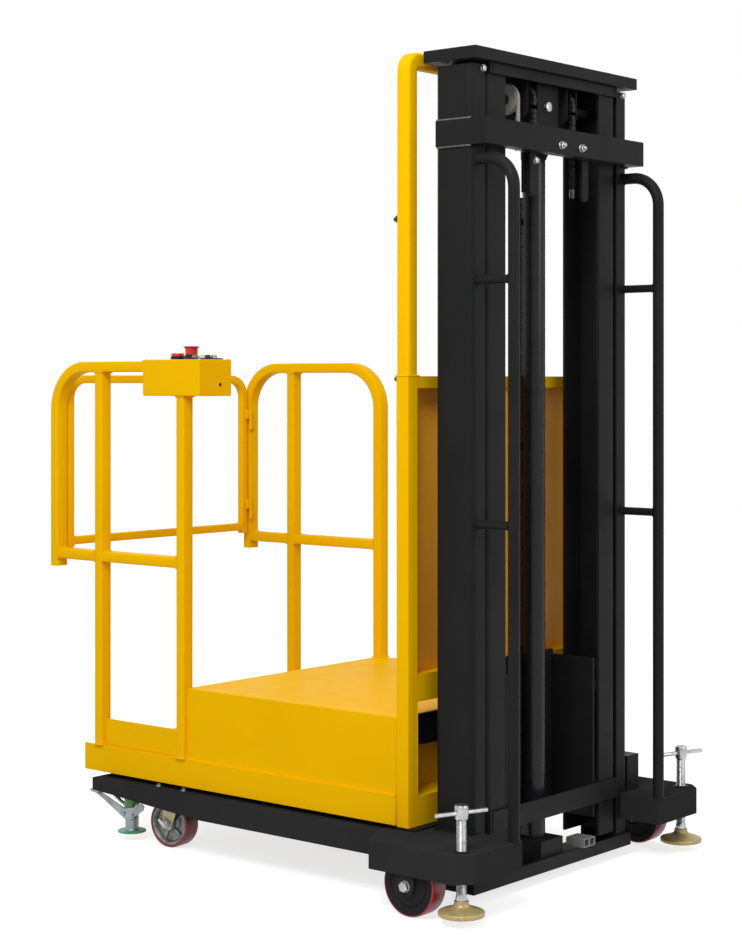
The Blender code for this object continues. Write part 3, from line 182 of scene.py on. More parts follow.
# The mast's black coat with no sheen and a lighter base; the lighter base is painted light.
MATT_BLACK_PAINTED_LIGHT = surface("matt_black_painted_light", (0.0270, 0.0272, 0.0278), (0.0310, 0.0311, 0.0316),
                     (0.50, 0.62), cloud=5.0, grain=700.0, depth=0.00005, specular=0.0)
GLOSS_BLACK = surface("black_enamel", (0.0085, 0.0085, 0.0100), (0.0115, 0.0115, 0.0130),
                      (0.22, 0.32), cloud=8.0, grain=300.0, depth=0.00002, specular=0.22)
ZINC = surface("bright_zinc", (0.50, 0.51, 0.51), (0.36, 0.37, 0.38), (0.24, 0.40), metallic=1.0,
               cloud=60.0, grain=900.0)
DULL_ZINC = surface("pressed_zinc", (0.33, 0.37, 0.38), (0.22, 0.25, 0.26), (0.34, 0.50),
                    metallic=0.8, cloud=45.0, depth=0.00005)
WELD = surface("bare_weld", (0.16, 0.16, 0.155), (0.09, 0.09, 0.088), (0.50, 0.68), metallic=0.5,
               cloud=160.0, depth=0.00020)
GOLD_ZINC = surface("yellow_zinc", (0.40, 0.34, 0.18), (0.31, 0.29, 0.20), (0.34, 0.50),
                    metallic=0.8, cloud=45.0, grain=600.0, depth=0.00004)
PAD_BRASS = surface("golden_pad", (0.50, 0.38, 0.17), (0.40, 0.29, 0.12), (0.36, 0.50),
                    metallic=0.3, cloud=90.0, grain=260.0, depth=0.00035)
TREAD = surface("cast_polyurethane", (0.15, 0.014, 0.013), (0.21, 0.022, 0.020), (0.32, 0.50),
                grain=350.0, depth=0.00008)
RED_RIM = surface("bright_polyurethane", (0.33, 0.022, 0.020), (0.27, 0.022, 0.020), (0.28, 0.42),
                  cloud=30.0, grain=350.0, depth=0.00006)
IRON = surface("grey_cast_core", (0.13, 0.14, 0.14), (0.27, 0.27, 0.26), (0.42, 0.60),
               metallic=0.75, cloud=50.0, grain=260.0, depth=0.00025)
GREEN = surface("green_rubber_pad", (0.055, 0.24, 0.125), (0.085, 0.31, 0.17), (0.45, 0.62),
                grain=400.0, depth=0.00008)
GREEN_POST = surface("green_enamel", (0.09, 0.26, 0.06), (0.12, 0.33, 0.08), (0.30, 0.42),
                     grain=300.0, depth=0.00004)
SIGNAL_RED = surface("red_button_plastic", (0.62, 0.012, 0.012), (0.55, 0.012, 0.012),
                     (0.20, 0.30), cloud=60.0, grain=300.0, depth=0.00002)
OILED = surface("oiled_steel", (0.020, 0.019, 0.018), (0.075, 0.072, 0.068), (0.28, 0.45),
                metallic=0.9, cloud=120.0, grain=900.0)
CHROME = surface("hard_chrome", (0.74, 0.75, 0.77), (0.70, 0.71, 0.73), (0.07, 0.12), metallic=1.0,
                 cloud=20.0, grain=1200.0, depth=0.000005, stretch=(1.0, 1.0, 0.1))
GREY_PLASTIC = surface("grey_moulding", (0.20, 0.20, 0.19), (0.16, 0.16, 0.155), (0.42, 0.55),
                       grain=700.0, depth=0.00004)
BEIGE = surface("nylon_sheave", (0.42, 0.41, 0.37), (0.36, 0.35, 0.32), (0.38, 0.50),
                depth=0.00004)
HOSE = surface("hose_cover", (0.30, 0.29, 0.265), (0.24, 0.235, 0.215), (0.40, 0.55), cloud=60.0,
               grain=600.0, depth=0.00006)
NAVY = surface("navy_case", (0.012, 0.015, 0.045), (0.018, 0.022, 0.06), (0.38, 0.5), cloud=20.0,
               depth=0.00006)
WHITE_PLASTIC = surface("white_moulding", (0.72, 0.72, 0.70), (0.66, 0.66, 0.64), (0.32, 0.45),
                        cloud=50.0)
DARK_BOLT = surface("black_oxide_bolt", (0.035, 0.033, 0.030), (0.06, 0.055, 0.05), (0.30, 0.42),
                    metallic=0.7, cloud=150.0, grain=900.0)


# Mesh helpers


def toward(direction, position=(0.0, 0.0, 0.0), roll=0.0):
    """A matrix that puts local Z along a direction, at a position."""
    turn = Z.rotation_difference(Vector(direction)).to_matrix().to_4x4()
    return Matrix.Translation(position) @ turn @ Matrix.Rotation(roll, 4, "Z")


def upright(x, y=0.0, z=0.0, way=1.0):
    """A matrix that lays local X and Y along Y and Z, and local Z along X or against it."""
    return Matrix(((0, 0, way, x), (1, 0, 0, y), (0, 1, 0, z), (0, 0, 0, 1)))


def both_faces(outline):
    """A turned outline of (radius, height) points and its mirror image below."""
    return outline + [(radius, -height) for radius, height in outline[::-1]]


def over_sheave(x, reach):
    """Half a turn over a mast sheave, from its rear to its front."""
    turns = [math.pi * step / 24 for step in range(25)]
    return [Vector((x, SHEAVE_Y - reach * math.cos(turn), SHEAVE_Z + reach * math.sin(turn)))
            for turn in turns]


def circle(radius, count=16):
    """The points of a round section."""
    step = 2 * math.pi / count
    return [(radius * math.cos(i * step), radius * math.sin(i * step)) for i in range(count)]


def rounded_box(width, depth, corner=TUBE_CORNER, steps=3):
    """The points of a rectangular tube's section with rounded corners."""
    points = []
    for index, (sx, sy) in enumerate(((1, 1), (-1, 1), (-1, -1), (1, -1))):
        centre = (sx * (width / 2 - corner), sy * (depth / 2 - corner))
        for step in range(steps + 1):
            angle = math.pi / 2 * (index + step / steps)
            points.append((centre[0] + corner * math.cos(angle),
                           centre[1] + corner * math.sin(angle)))
    return points


def arc_path(corners, radii, steps=8):
    """Replace each corner of an open path by an arc of its radius, 0 for none."""
    path = []
    for index, (corner, radius) in enumerate(zip(corners, radii)):
        here = Vector(corner)
        if radius <= 0.0:
            path.append(here)
            continue
        before = (Vector(corners[index - 1]) - here).normalized()
        after = (Vector(corners[index + 1]) - here).normalized()
        half = before.angle(after) / 2
        centre = here + (before + after).normalized() * (radius / math.sin(half))
        start = here + before * (radius / math.tan(half)) - centre
        end = here + after * (radius / math.tan(half)) - centre
        sweep = start.angle(end)
        for step in range(steps + 1):
            share = step / steps
            first = math.sin((1 - share) * sweep) / math.sin(sweep)
            second = math.sin(share * sweep) / math.sin(sweep)
            path.append(centre + start * first + end * second)
    return path


class Shape:
    """Collects closed solids that make up one piece."""

    def __init__(self):
        self.mesh = bmesh.new()

    def lathe(self, profile, place, segments=32, closed=False, wave=None):
        """Turn (radius, height) points about local Z."""
        rings = []
        for radius, height in profile:
            ring = []
            for index in range(1 if radius < 1e-6 else segments):
                angle = 2 * math.pi * index / segments
                reach = radius if wave is None else radius + wave(angle, height)
                spot = Vector((reach * math.cos(angle), reach * math.sin(angle), height))
                ring.append(self.mesh.verts.new(place @ spot))
            rings.append(ring)
        pairs = list(zip(rings, rings[1:]))
        if closed:
            pairs.append((rings[-1], rings[0]))
        for upper, lower in pairs:
            for index in range(segments):
                following = index + 1
                corners = [upper[index % len(upper)], upper[following % len(upper)],
                           lower[following % len(lower)], lower[index % len(lower)]]
                unique = list(dict.fromkeys(corners))
                if len(unique) > 2:
                    self.mesh.faces.new(unique)
        return self

    def sweep(self, path, section, side, closed=False, swell=None):
        """Push a section of (across, out) points along a flat path; side is normal to its plane."""
        side = Vector(side)
        points = [Vector(point) for point in path]
        count = len(points)
        rings = []
        for index, here in enumerate(points):
            last = index == count - 1
            ahead = points[(index + 1) % count] - here if closed or not last else None
            back = here - points[index - 1] if closed or index else ahead
            ahead = ahead or back
            along = (back.normalized() + ahead.normalized()).normalized()
            out = along.cross(side)
            mitre = 1.0 / max(along.dot(ahead.normalized()), 0.5)
            size = swell(index) if swell else 1.0
            rings.append([self.mesh.verts.new(here + side * (a * size) + out * (b * mitre * size))
                          for a, b in section])
        pairs = list(zip(rings, rings[1:]))
        if closed:
            pairs.append((rings[-1], rings[0]))
        else:
            self.mesh.faces.new(rings[0])
            self.mesh.faces.new(rings[-1][::-1])
        width = len(section)
        for first, second in pairs:
            for index in range(width):
                following = (index + 1) % width
                self.mesh.faces.new([first[index], second[index], second[following],
                                     first[following]])
        return self

    def block(self, low, high, edge=0.001, place=None, segments=2):
        """A box between two corners with rounded edges."""
        low, high = Vector(low), Vector(high)
        matrix = Matrix.Translation((low + high) / 2) @ Matrix.Diagonal((*(high - low), 1.0))
        made = bmesh.ops.create_cube(self.mesh, size=1.0, matrix=(place or Matrix()) @ matrix)
        if edge:
            edges = list({edge_of for vertex in made["verts"] for edge_of in vertex.link_edges})
            bmesh.ops.bevel(self.mesh, geom=edges, offset=edge, segments=segments, profile=0.5,
                            affect="EDGES")
        return self

    def plate(self, outline, thickness, place, edge=0.0008):
        """An outline in local X and Y pushed along local Z, with its rims rounded."""
        lower = [self.mesh.verts.new(place @ Vector((u, v, 0.0))) for u, v in outline]
        upper = [self.mesh.verts.new(place @ Vector((u, v, thickness))) for u, v in outline]
        caps = [self.mesh.faces.new(lower[::-1]), self.mesh.faces.new(upper)]
        count = len(outline)
        for index in range(count):
            following = (index + 1) % count
            self.mesh.faces.new([lower[index], lower[following], upper[following], upper[index]])
        if edge:
            rims = list({edge_of for cap in caps for edge_of in cap.edges})
            bmesh.ops.bevel(self.mesh, geom=rims, offset=edge, segments=2, profile=0.5,
                            affect="EDGES")
        return self

    def bolt(self, position, direction, size=0.008, washer=True, stud=0.0, roll=0.3):
        """A hexagon head or nut of a thread size, seated at a point, with its washer."""
        place = toward(direction, position, roll)
        base = 0.0
        if washer:
            base = size * 0.2
            self.lathe([(0.0, base), (size * 0.97, base), (size * 1.02, base * 0.6),
                        (size * 1.02, 0.0), (0.0, 0.0)], place, 24)
        corner, top = size * 0.93, base + size * 0.66
        self.lathe([(0.0, top), (corner * 0.84, top), (corner, top - size * 0.09), (corner, base),
                    (0.0, base)], place, 6)
        if stud:
            self.lathe([(0.0, top + stud), (size * 0.42, top + stud), (size * 0.5, top + stud * 0.8),
                        (size * 0.5, top - size * 0.1), (0.0, top - size * 0.1)], place, 16)
        return self

    def dome(self, position, direction, size=0.008):
        """A round-headed bolt."""
        place = toward(direction, position)
        self.lathe([(0.0, size * 0.55), (size * 0.45, size * 0.52), (size * 0.75, size * 0.40),
                    (size * 0.95, size * 0.18), (size, 0.0), (0.0, 0.0)], place, 20)
        return self

    def bead(self, path, side, radius=0.0022, closed=False):
        """A rippled weld along the corners of a flat path."""
        corners = [Vector(point) for point in path]
        if closed:
            corners.append(corners[0])
        fine = []
        for first, second in zip(corners, corners[1:]):
            count = max(2, int((second - first).length / 0.0012))
            fine += [first.lerp(second, index / count) for index in range(count)]
        if not closed:
            fine.append(corners[-1])

        def ripple(index):
            return 1.0 + 0.16 * math.sin(index * 1.57) + 0.07 * math.sin(index * 0.37)

        return self.sweep(fine, circle(radius, 7), side, closed=closed, swell=ripple)

    def collar(self, centre, across, up, side, reach, radius=0.0018, count=12):
        """A weld round a tube, on a ring in the plane of two directions."""
        ring = [Vector(centre) + across * (reach * c) + up * (reach * s)
                for c, s in circle(1.0, count)]
        return self.bead(ring, side, radius, closed=True)

    def done(self, name, material, body, slot=None, replaces=(), sharp=35.0):
        """Make the piece and let it ride on its body."""
        bmesh.ops.recalc_face_normals(self.mesh, faces=self.mesh.faces)
        data = bpy.data.meshes.new(name)
        self.mesh.to_mesh(data)
        self.mesh.free()
        data.shade_smooth()
        data.set_sharp_from_angle(angle=math.radians(sharp))
        data.materials.append(material)
        item = bpy.data.objects.new(name, data)
        bpy.context.scene.collection.objects.link(item)
        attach(item, body)
        if replaces:
            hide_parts(*replaces)
        return item


def smooth_group():
    """A node group that marks edges under an angle as smooth, for CAD nodes."""
    group = bpy.data.node_groups.new("smooth_small_angles", "GeometryNodeTree")
    group.interface.new_socket("Geometry", in_out="INPUT", socket_type="NodeSocketGeometry")
    group.interface.new_socket("Geometry", in_out="OUTPUT", socket_type="NodeSocketGeometry")
    start = group.nodes.new("NodeGroupInput")
    end = group.nodes.new("NodeGroupOutput")
    angle = group.nodes.new("GeometryNodeInputMeshEdgeAngle")
    compare = group.nodes.new("FunctionNodeCompare")
    compare.operation = "LESS_EQUAL"
    compare.inputs[1].default_value = math.radians(32.0)
    faces = group.nodes.new("GeometryNodeSetShadeSmooth")
    faces.domain = "FACE"
    edges = group.nodes.new("GeometryNodeSetShadeSmooth")
    edges.domain = "EDGE"
    links = group.links
    links.new(start.outputs[0], faces.inputs["Geometry"])
    links.new(faces.outputs[0], edges.inputs["Geometry"])
    links.new(angle.outputs["Unsigned Angle"], compare.inputs[0])
    links.new(compare.outputs["Result"], edges.inputs["Shade Smooth"])
    links.new(edges.outputs[0], end.inputs[0])
    return group


SMOOTH = smooth_group()


def dress(names, material, edge=0.001):
    """Give CAD nodes a material and soft edges; their own vertices stay as packed."""
    for name in names:
        item = NODES[name]
        item.material_slots[0].material = material
        marks = item.data.attributes.get("custom_normal")
        if marks is not None:
            item.data.attributes.remove(marks)
        joined = item.modifiers.new("join", "WELD")
        joined.merge_threshold = 0.00001
        flat = item.modifiers.new("flatten", "DECIMATE")
        flat.decimate_type = "DISSOLVE"
        flat.angle_limit = math.radians(0.6)
        if edge:
            bevel = item.modifiers.new("edges", "BEVEL")
            bevel.limit_method = "ANGLE"
            bevel.angle_limit = math.radians(35.0)
            bevel.width = edge
            bevel.segments = 2
            bevel.use_clamp_overlap = True
        smooth = item.modifiers.new("smooth", "NODES")
        smooth.node_group = SMOOTH
        weighted = item.modifiers.new("shade", "WEIGHTED_NORMAL")
        weighted.keep_sharp = True


# CAD nodes that keep their shape

# The outriggers and side legs take the lighter black, painted light on their lit faces.
dress(["outrigger_left", "outrigger_right", "side_leg_left", "side_leg_right"], MATT_BLACK_PAINTED_LIGHT, 0.0012)
dress(["base_beam", "outer_mast_channel_left", "outer_mast_channel_right", "mast_band",
       "valve_box", "inner_mast_channel_left", "inner_mast_channel_right", "mast_cap",
       "mast_lower_tie", "mast_head_beam", "mast_crosshead", "lift_bracket"], BLACK, 0.0012)
dress(["cylinder_barrel"], GLOSS_BLACK, 0.001)
dress(["piston_rod"], CHROME, 0.0008)
dress(["platform_deck", "raised_box", "toe_board_left", "toe_board_right", "rear_frame"],
      YELLOW, 0.0012)
dress(["control_box"], YELLOW, 0.0035)
dress(["power_unit"], NAVY, 0.004)
dress(["charging_plug"], GREY_PLASTIC, 0.0015)
dress(["caster_fork_left", "caster_fork_right"], GOLD_ZINC, 0.0007)


# Rear wheels, casters, jacks and floor locks


def rear_wheels():
    """A black core with a turned groove in a thin red tyre."""
    radius, half, rim = 0.072, 0.024, 0.0680
    across, along, bolt_seat = 0.476, -0.577, 0.0336
    for name, side in SIDES:
        place = toward(X, (side * across, along, radius))
        tyre = Shape().lathe(both_faces([
            (rim, half), (radius - 0.0030, half), (radius - 0.0008, half - 0.0012),
            (radius, half - 0.0040)]), place, 96, closed=True)
        tyre.done(f"rear_tyre_{name}", RED_RIM, f"rear_wheel_{name}", "red_polyurethane",
                  [f"rear_wheel_{name}"])
        face = half - 0.0006
        outer = [(rim - 0.0002, face - 0.0008), (rim - 0.0012, face), (0.0535, face),
                 (0.0525, face - 0.0008), (0.0515, face - 0.0022), (0.0485, face - 0.0026),
                 (0.0470, face - 0.0010), (0.0460, face), (0.0240, face), (0.0225, face + 0.0010),
                 (0.0100, face + 0.0010), (0.0086, face - 0.0004)]
        Shape().lathe(both_faces(outer), place, 96, closed=True).done(
            f"rear_core_{name}", BLACK, f"rear_wheel_{name}", "black_paint")
        fittings = Shape()
        for way in (side, -side):
            fittings.bolt((side * across + way * bolt_seat, along, radius), X * way, 0.0132)
        fittings.done(f"axle_bolts_{name}", ZINC, "chassis", "zinc_plate")


def casters():
    """A dished iron core in a red tread, with the axle's nut and grease lever."""
    radius, half, rim = 0.0625, 0.024, 0.0555
    pivot_x, pivot_y, trail = 0.349, 0.3125, 0.016
    for name, side in SIDES:
        angle = math.radians(CASTER_ANGLES[name])
        turn = Matrix.Translation((side * pivot_x, pivot_y, 0.0)) @ Matrix.Rotation(angle, 4, "Z")
        place = turn @ toward(X, (0.0, trail, radius))
        wheel, fork = f"caster_wheel_{name}", f"caster_{name}"
        Shape().lathe(both_faces([
            (rim, half - 0.0008), (radius - 0.0030, half), (radius - 0.0009, half - 0.0014),
            (radius, half - 0.0045)]), place, 96, closed=True).done(
            f"caster_tread_{name}", TREAD, wheel, "red_polyurethane", [f"caster_wheel_{name}"])
        outer = [(rim - 0.0002, half - 0.0022), (rim - 0.0012, half - 0.0012),
                 (rim - 0.0050, half - 0.0012), (rim - 0.0075, half - 0.0040),
                 (rim - 0.0110, half - 0.0125), (0.0240, half - 0.0135), (0.0190, half - 0.0100),
                 (0.0175, half - 0.0010), (0.0160, half), (0.0068, half)]
        core = Shape().lathe(both_faces(outer), place, 96, closed=True)
        for way in (1, -1):
            for index in range(5):
                spoke = place @ Matrix.Rotation(2 * math.pi * (index + 0.3) / 5, 4, "Z")
                low, high = sorted((way * (half - 0.0145), way * (half - 0.0065)))
                core.block((0.0170, -0.0024, low), (rim - 0.0070, 0.0024, high), 0.0009, spoke)
        core.done(f"caster_core_{name}", IRON, wheel)
        fittings = Shape()
        for way in (side, -side):
            fittings.bolt(turn @ Vector((way * 0.0309, trail, radius)), turn.to_3x3() @ (X * way),
                          0.0118, stud=0.002)
        lever = turn @ toward(X * side, (side * 0.0415, trail, radius), math.radians(-52.0) * side)
        fittings.plate([(-0.007, -0.0045), (0.007, -0.0055), (0.020, -0.0040), (0.023, 0.0),
                        (0.020, 0.0040), (0.007, 0.0055), (-0.007, 0.0045)], 0.0035, lever)
        fittings.done(f"caster_nuts_{name}", ZINC, fork, "zinc_plate")
        bearing = Shape()
        pin = turn @ Matrix.Translation((0.0, 0.0, 0.1352))
        bearing.lathe([(0.0, 0.0), (0.0335, 0.0), (0.0345, 0.002), (0.0345, 0.006),
                       (0.0330, 0.008), (0.0305, 0.0086), (0.0, 0.0086)], pin, 48)
        bearing.done(f"caster_race_{name}", GOLD_ZINC, fork, "yellow_zinc_plate")
        plate = Shape().block((-0.052, -0.062, 0.1530), (0.052, 0.062, 0.1557), 0.0008,
                              Matrix.Translation((side * pivot_x, pivot_y - 0.004, 0.0)))
        plate.done(f"caster_plate_{name}", GOLD_ZINC, "chassis", "yellow_zinc_plate")
        studs = Shape()
        for across in (pivot_x - 0.040, pivot_x + 0.040):
            for along in (0.2550, 0.3460):
                studs.bolt((side * across, along, 0.1600), Z, 0.0075, stud=0.0012)
        studs.done(f"caster_bolts_{name}", ZINC, "chassis", "zinc_plate")


def jacks():
    """A threaded screw with its head and sliding bar, and the pad that it stands on."""
    spot_x, spot_y, top, pad = 0.470, -0.706, 0.269, 0.020
    collar, neck = top - 0.033, pad + 0.034
    pitch = 0.0026
    row_height = pitch / 4

    def thread(angle, height):
        phase = (height / pitch + angle / (2 * math.pi)) % 1.0
        return -0.0009 * abs(2.0 * phase - 1.0)

    for name, side in SIDES:
        place = Matrix.Translation((side * spot_x, spot_y, 0.0))
        count = int((collar - neck + 0.009) / row_height)
        rows = [neck - 0.006 + row_height * index for index in range(count)]
        profile = [(0.0, rows[0])] + [(0.012, row) for row in rows] + [(0.0, rows[-1])]
        screw = Shape().lathe(profile, place, 40, wave=thread)
        screw.lathe([(0.0, top), (0.0110, top - 0.0004), (0.0142, top - 0.0018),
                     (0.0158, top - 0.0050), (0.0160, top - 0.0240), (0.0150, top - 0.0262),
                     (0.0148, collar + 0.0010), (0.0138, collar), (0.0, collar)], place, 48)
        angle = math.radians(-20.0)
        way = Vector((math.cos(angle), math.sin(angle), 0.0))
        bar = toward(way, Vector((side * spot_x, spot_y, top - 0.019)))
        screw.lathe(both_faces([(0.0, 0.070), (0.0030, 0.0696), (0.0048, 0.0682),
                                (0.0054, 0.0660)]), bar, 24)
        screw.lathe([(0.0, neck - 0.004), (0.0125, neck - 0.002), (0.0138, neck + 0.003),
                     (0.0128, neck + 0.010), (0.0115, neck + 0.014), (0.0, neck + 0.014)],
                    place, 32)
        screw.done(f"jack_screw_{name}", ZINC, f"jack_{name}", "zinc_plate", [f"jack_{name}"])
        foot = [(0.0, neck - 0.001), (0.0128, neck - 0.001), (0.0136, neck), (0.0158, neck),
                (0.0168, neck - 0.0012), (0.0166, neck - 0.0045), (0.0176, neck - 0.0080),
                (0.0200, neck - 0.0115), (0.0245, neck - 0.0145), (0.0320, neck - 0.0172),
                (0.0410, neck - 0.0192), (0.0490, neck - 0.0222), (0.0520, neck - 0.0237),
                (0.0530, neck - 0.0252), (0.0530, neck - 0.0318), (0.0522, neck - 0.0332),
                (0.0500, neck - 0.0340), (0.0, neck - 0.0340)]
        Shape().lathe(foot, place, 72).done(f"jack_pad_{name}", PAD_BRASS, f"jack_{name}")
        boss = Shape().lathe([(0.0128, 0.1620), (0.0128, 0.1655), (0.0175, 0.1655),
                              (0.0190, 0.1640), (0.0190, 0.1620)], place, 40, closed=True)
        boss.done(f"jack_collar_{name}", BLACK, "chassis", "black_paint")


def floor_locks():
    """The sleeve and green post under the leg, the pressed link with its pedal, and the pad."""
    for name, side in SIDES:
        x, y = side * 0.362, 0.477
        place = Matrix.Translation((x, y, 0.0))
        Shape().lathe([(0.0126, 0.1556), (0.0205, 0.1556), (0.0205, 0.0830), (0.0190, 0.0815),
                       (0.0126, 0.0815)], place, 40, closed=True).done(
            f"lock_post_{name}", GREEN_POST, "chassis")
        body = Shape().lathe([(0.0126, 0.0810), (0.0180, 0.0810), (0.0180, 0.0620),
                              (0.0172, 0.0600), (0.0126, 0.0600)], place, 40, closed=True)
        outline = [(0.1301, 0.1123), (0.1192, 0.1172), (0.1058, 0.1183),
                       (0.0913, 0.1111), (0.0057, 0.0812), (-0.0304, 0.0882),
                       (-0.0364, 0.0984), (-0.0593, 0.1022), (-0.0682, 0.0952),
                       (-0.0643, 0.0857), (-0.0264, 0.0618), (-0.0194, 0.0532),
                       (-0.0084, 0.0516), (0.0057, 0.0545), (0.0986, 0.1007)]
        seat, thick = x + side * 0.0182, 0.0030
        body.plate(outline, thick, upright(seat, y, way=side), 0.0007)
        for along, up in LOCK_RIVETS:
            body.lathe([(0.0, 0.0046), (0.0026, 0.0044), (0.0040, 0.0030), (0.0046, 0.0),
                        (0.0, 0.0)], toward(X * side, (seat + side * thick, y + along, up)), 18)
        tilt = Matrix.Translation((x, 0.612, 0.1125)) @ Matrix.Rotation(math.radians(14.0), 4, "X")
        body.block((-0.0215, -0.010, -0.002), (0.0215, 0.010, 0.0015), 0.0008, tilt)
        for index in range(3):
            ridge = -0.007 + index * 0.006
            body.block((-0.019, ridge, 0.0012), (0.019, ridge + 0.002, 0.0026), 0.0004, tilt)
        body.sweep([(x, 0.5640, 0.1180), (x, 0.5200, 0.0940), (x, 0.4930, 0.0830)],
                   circle(0.0045, 14), X)
        body.done(f"lock_link_{name}", DULL_ZINC, "chassis", "zinc_plate",
                  [f"floor_lock_{name}"])
        stem = Shape().lathe([(0.0, 0.120), (0.0118, 0.119), (0.0118, 0.0590), (0.0172, 0.0588),
                              (0.0178, 0.0580), (0.0178, 0.0300), (0.0190, 0.0262),
                              (0.0200, 0.0242), (0.0, 0.0242)], place, 40)
        stem.done(f"lock_stem_{name}", DULL_ZINC, f"lock_pad_{name}", "zinc_plate")
        Shape().lathe([(0.0, 0.0245), (0.0270, 0.0245), (0.0330, 0.0240), (0.0365, 0.0228),
                       (0.0380, 0.0210), (0.0376, 0.0192), (0.0350, 0.0182), (0.0325, 0.0180),
                       (0.0320, 0.0186), (0.0280, 0.0186), (0.0275, 0.0180), (0.0230, 0.0180),
                       (0.0225, 0.0186), (0.0, 0.0186)], place, 64).done(
            f"lock_pad_{name}", GREEN, f"lock_pad_{name}", "green_rubber",
            [f"floor_lock_pad_{name}"])


rear_wheels()
casters()
jacks()
floor_locks()


# Yellow tube frames with their welds


def weld_ring(shape, centre, normal, across, depth, width_way):
    """A weld round a rectangular tube where it meets another piece."""
    normal, width_way = Vector(normal), Vector(width_way)
    depth_way = normal.cross(width_way)
    ring = [Vector(centre) + width_way * (a * across / 2) + depth_way * (b * depth / 2)
            for a, b in ((1, 1), (-1, 1), (-1, -1), (1, -1))]
    shape.bead(ring, normal, closed=True)


def side_rails():
    """Hoop, bar and posts of square tube on each side of the platform."""
    front, top, bend = 0.745, 1.254, 0.116
    ledge, bar_z = 0.2433, 0.747
    post_y, braced_y, leg_y = 0.569, 0.2593, 0.2345
    for name, side in SIDES:
        x = side * RAIL_X
        if side < 0:
            corners = [(x, front, 0.712), (x, front, top), (x, 0.3923, top)]
            path = arc_path(corners, [0.0, bend, 0.0], 12)
            rear = braced_y
        else:
            corners = [(x, front, 0.712), (x, front, top), (x, leg_y, top), (x, leg_y, 0.4253)]
            path = arc_path(corners, [0.0, bend, bend, 0.0], 12)
            rear = leg_y
        rail = Shape().sweep(path, rounded_box(*RAIL_SECTION), X)
        infill = rounded_box(*INFILL_SECTION)
        rail.sweep([(x, rear + 0.012, bar_z), (x, post_y - 0.0138, bar_z)], infill, X)
        rail.sweep([(x, post_y + 0.0138, bar_z), (x, front - 0.0125, bar_z)], infill, X)
        rail.sweep([(x, post_y, ledge), (x, post_y, top - 0.0125)], infill, X)
        if side < 0:
            rail.sweep([(x, braced_y, ledge), (x, braced_y, 1.1772)], infill, X)
        across, along = INFILL_SECTION
        weld_ring(rail, (x, post_y, ledge + 0.0005), Z, along, across, Y)
        weld_ring(rail, (x, post_y, top - 0.0145), Z, along, across, Y)
        for y in (rear + 0.0145, post_y - 0.0145, post_y + 0.0145, front - 0.0145):
            weld_ring(rail, (x, y, bar_z), Y, across, along, X)
        if side < 0:
            weld_ring(rail, (x, braced_y, ledge + 0.0005), Z, along, across, Y)
            weld_ring(rail, (x, braced_y, 1.1763), Z, along, across, Y)
            weld_ring(rail, (x, 0.3929, top), Y, RAIL_SECTION[0], RAIL_SECTION[1], X)
        else:
            weld_ring(rail, (x, leg_y, 0.4259), Z, RAIL_SECTION[1], RAIL_SECTION[0], Y)
            hinge_halves(rail, 0.0, 1.0)
        rail.done(f"rail_{name}", YELLOW, "carriage", "yellow_paint", [f"side_rail_{name}"])


def hinge_halves(shape, lift, way):
    """Knuckles and leaves of the two gate hinges, for the rail or the gate."""
    for height in (0.800, 1.070):
        z = height + lift
        place = Matrix.Translation((0.360, 0.7255, z))
        shape.lathe([(0.0, 0.030), (0.0042, 0.030), (0.005, 0.0292), (0.005, 0.0008),
                     (0.0042, 0.0), (0.0, 0.0)], place, 24)
        low, high = sorted((0.360, 0.360 + way * 0.016))
        shape.block((low, 0.7245, z + 0.001), (high, 0.7335, z + 0.029), 0.0006)


def gate():
    """An inverted U of small square tube with its lower bar."""
    leg, top, bottom, y = 0.346, 1.221, 0.758, 0.745
    section = rounded_box(0.022, 0.022, 0.003)
    path = arc_path([(-leg, y, bottom), (-leg, y, top), (leg, y, top), (leg, y, bottom)],
                    [0.0, 0.054, 0.054, 0.0], 10)
    shape = Shape().sweep(path, section, Y)
    bar = 0.777
    shape.sweep([(-leg + 0.0100, y, bar), (leg - 0.0100, y, bar)], rounded_box(0.020, 0.022, 0.003),
                Y)
    for way in (1, -1):
        weld_ring(shape, (way * (leg - 0.0113), y, bar), X, 0.020, 0.022, Y)
    hinge_halves(shape, 0.0303, -1.0)
    shape.done("gate_frame", YELLOW, "gate", "yellow_paint", ["gate"])


def guard():
    """The tall hoop on the rear frame, its welds and its bolts."""
    y, leg, top, start = -0.4682, 0.3687, 1.972, 1.2283
    section = rounded_box(GUARD_TUBE, GUARD_TUBE, 0.0085, 5)
    path = arc_path([(-leg, y, start), (-leg, y, top), (leg, y, top), (leg, y, start)],
                    [0.0, 0.026, 0.026, 0.0], 8)
    shape = Shape().sweep(path, section, Y)
    for way in (1, -1):
        weld_ring(shape, (way * leg, y, start + 0.0006), Z, GUARD_TUBE, GUARD_TUBE, X)
    shape.done("guard_hoop", YELLOW, "carriage", "yellow_paint", ["upper_guard"])
    bolts = Shape()
    for way in (1, -1):
        for z in (1.598, 1.2215):
            seat = y + GUARD_TUBE / 2 if z > start else -0.4515
            bolts.bolt((way * (leg + 0.0068), seat, z), Y, 0.0095, stud=0.006)
    bolts.done("guard_bolts", DARK_BOLT, "carriage")


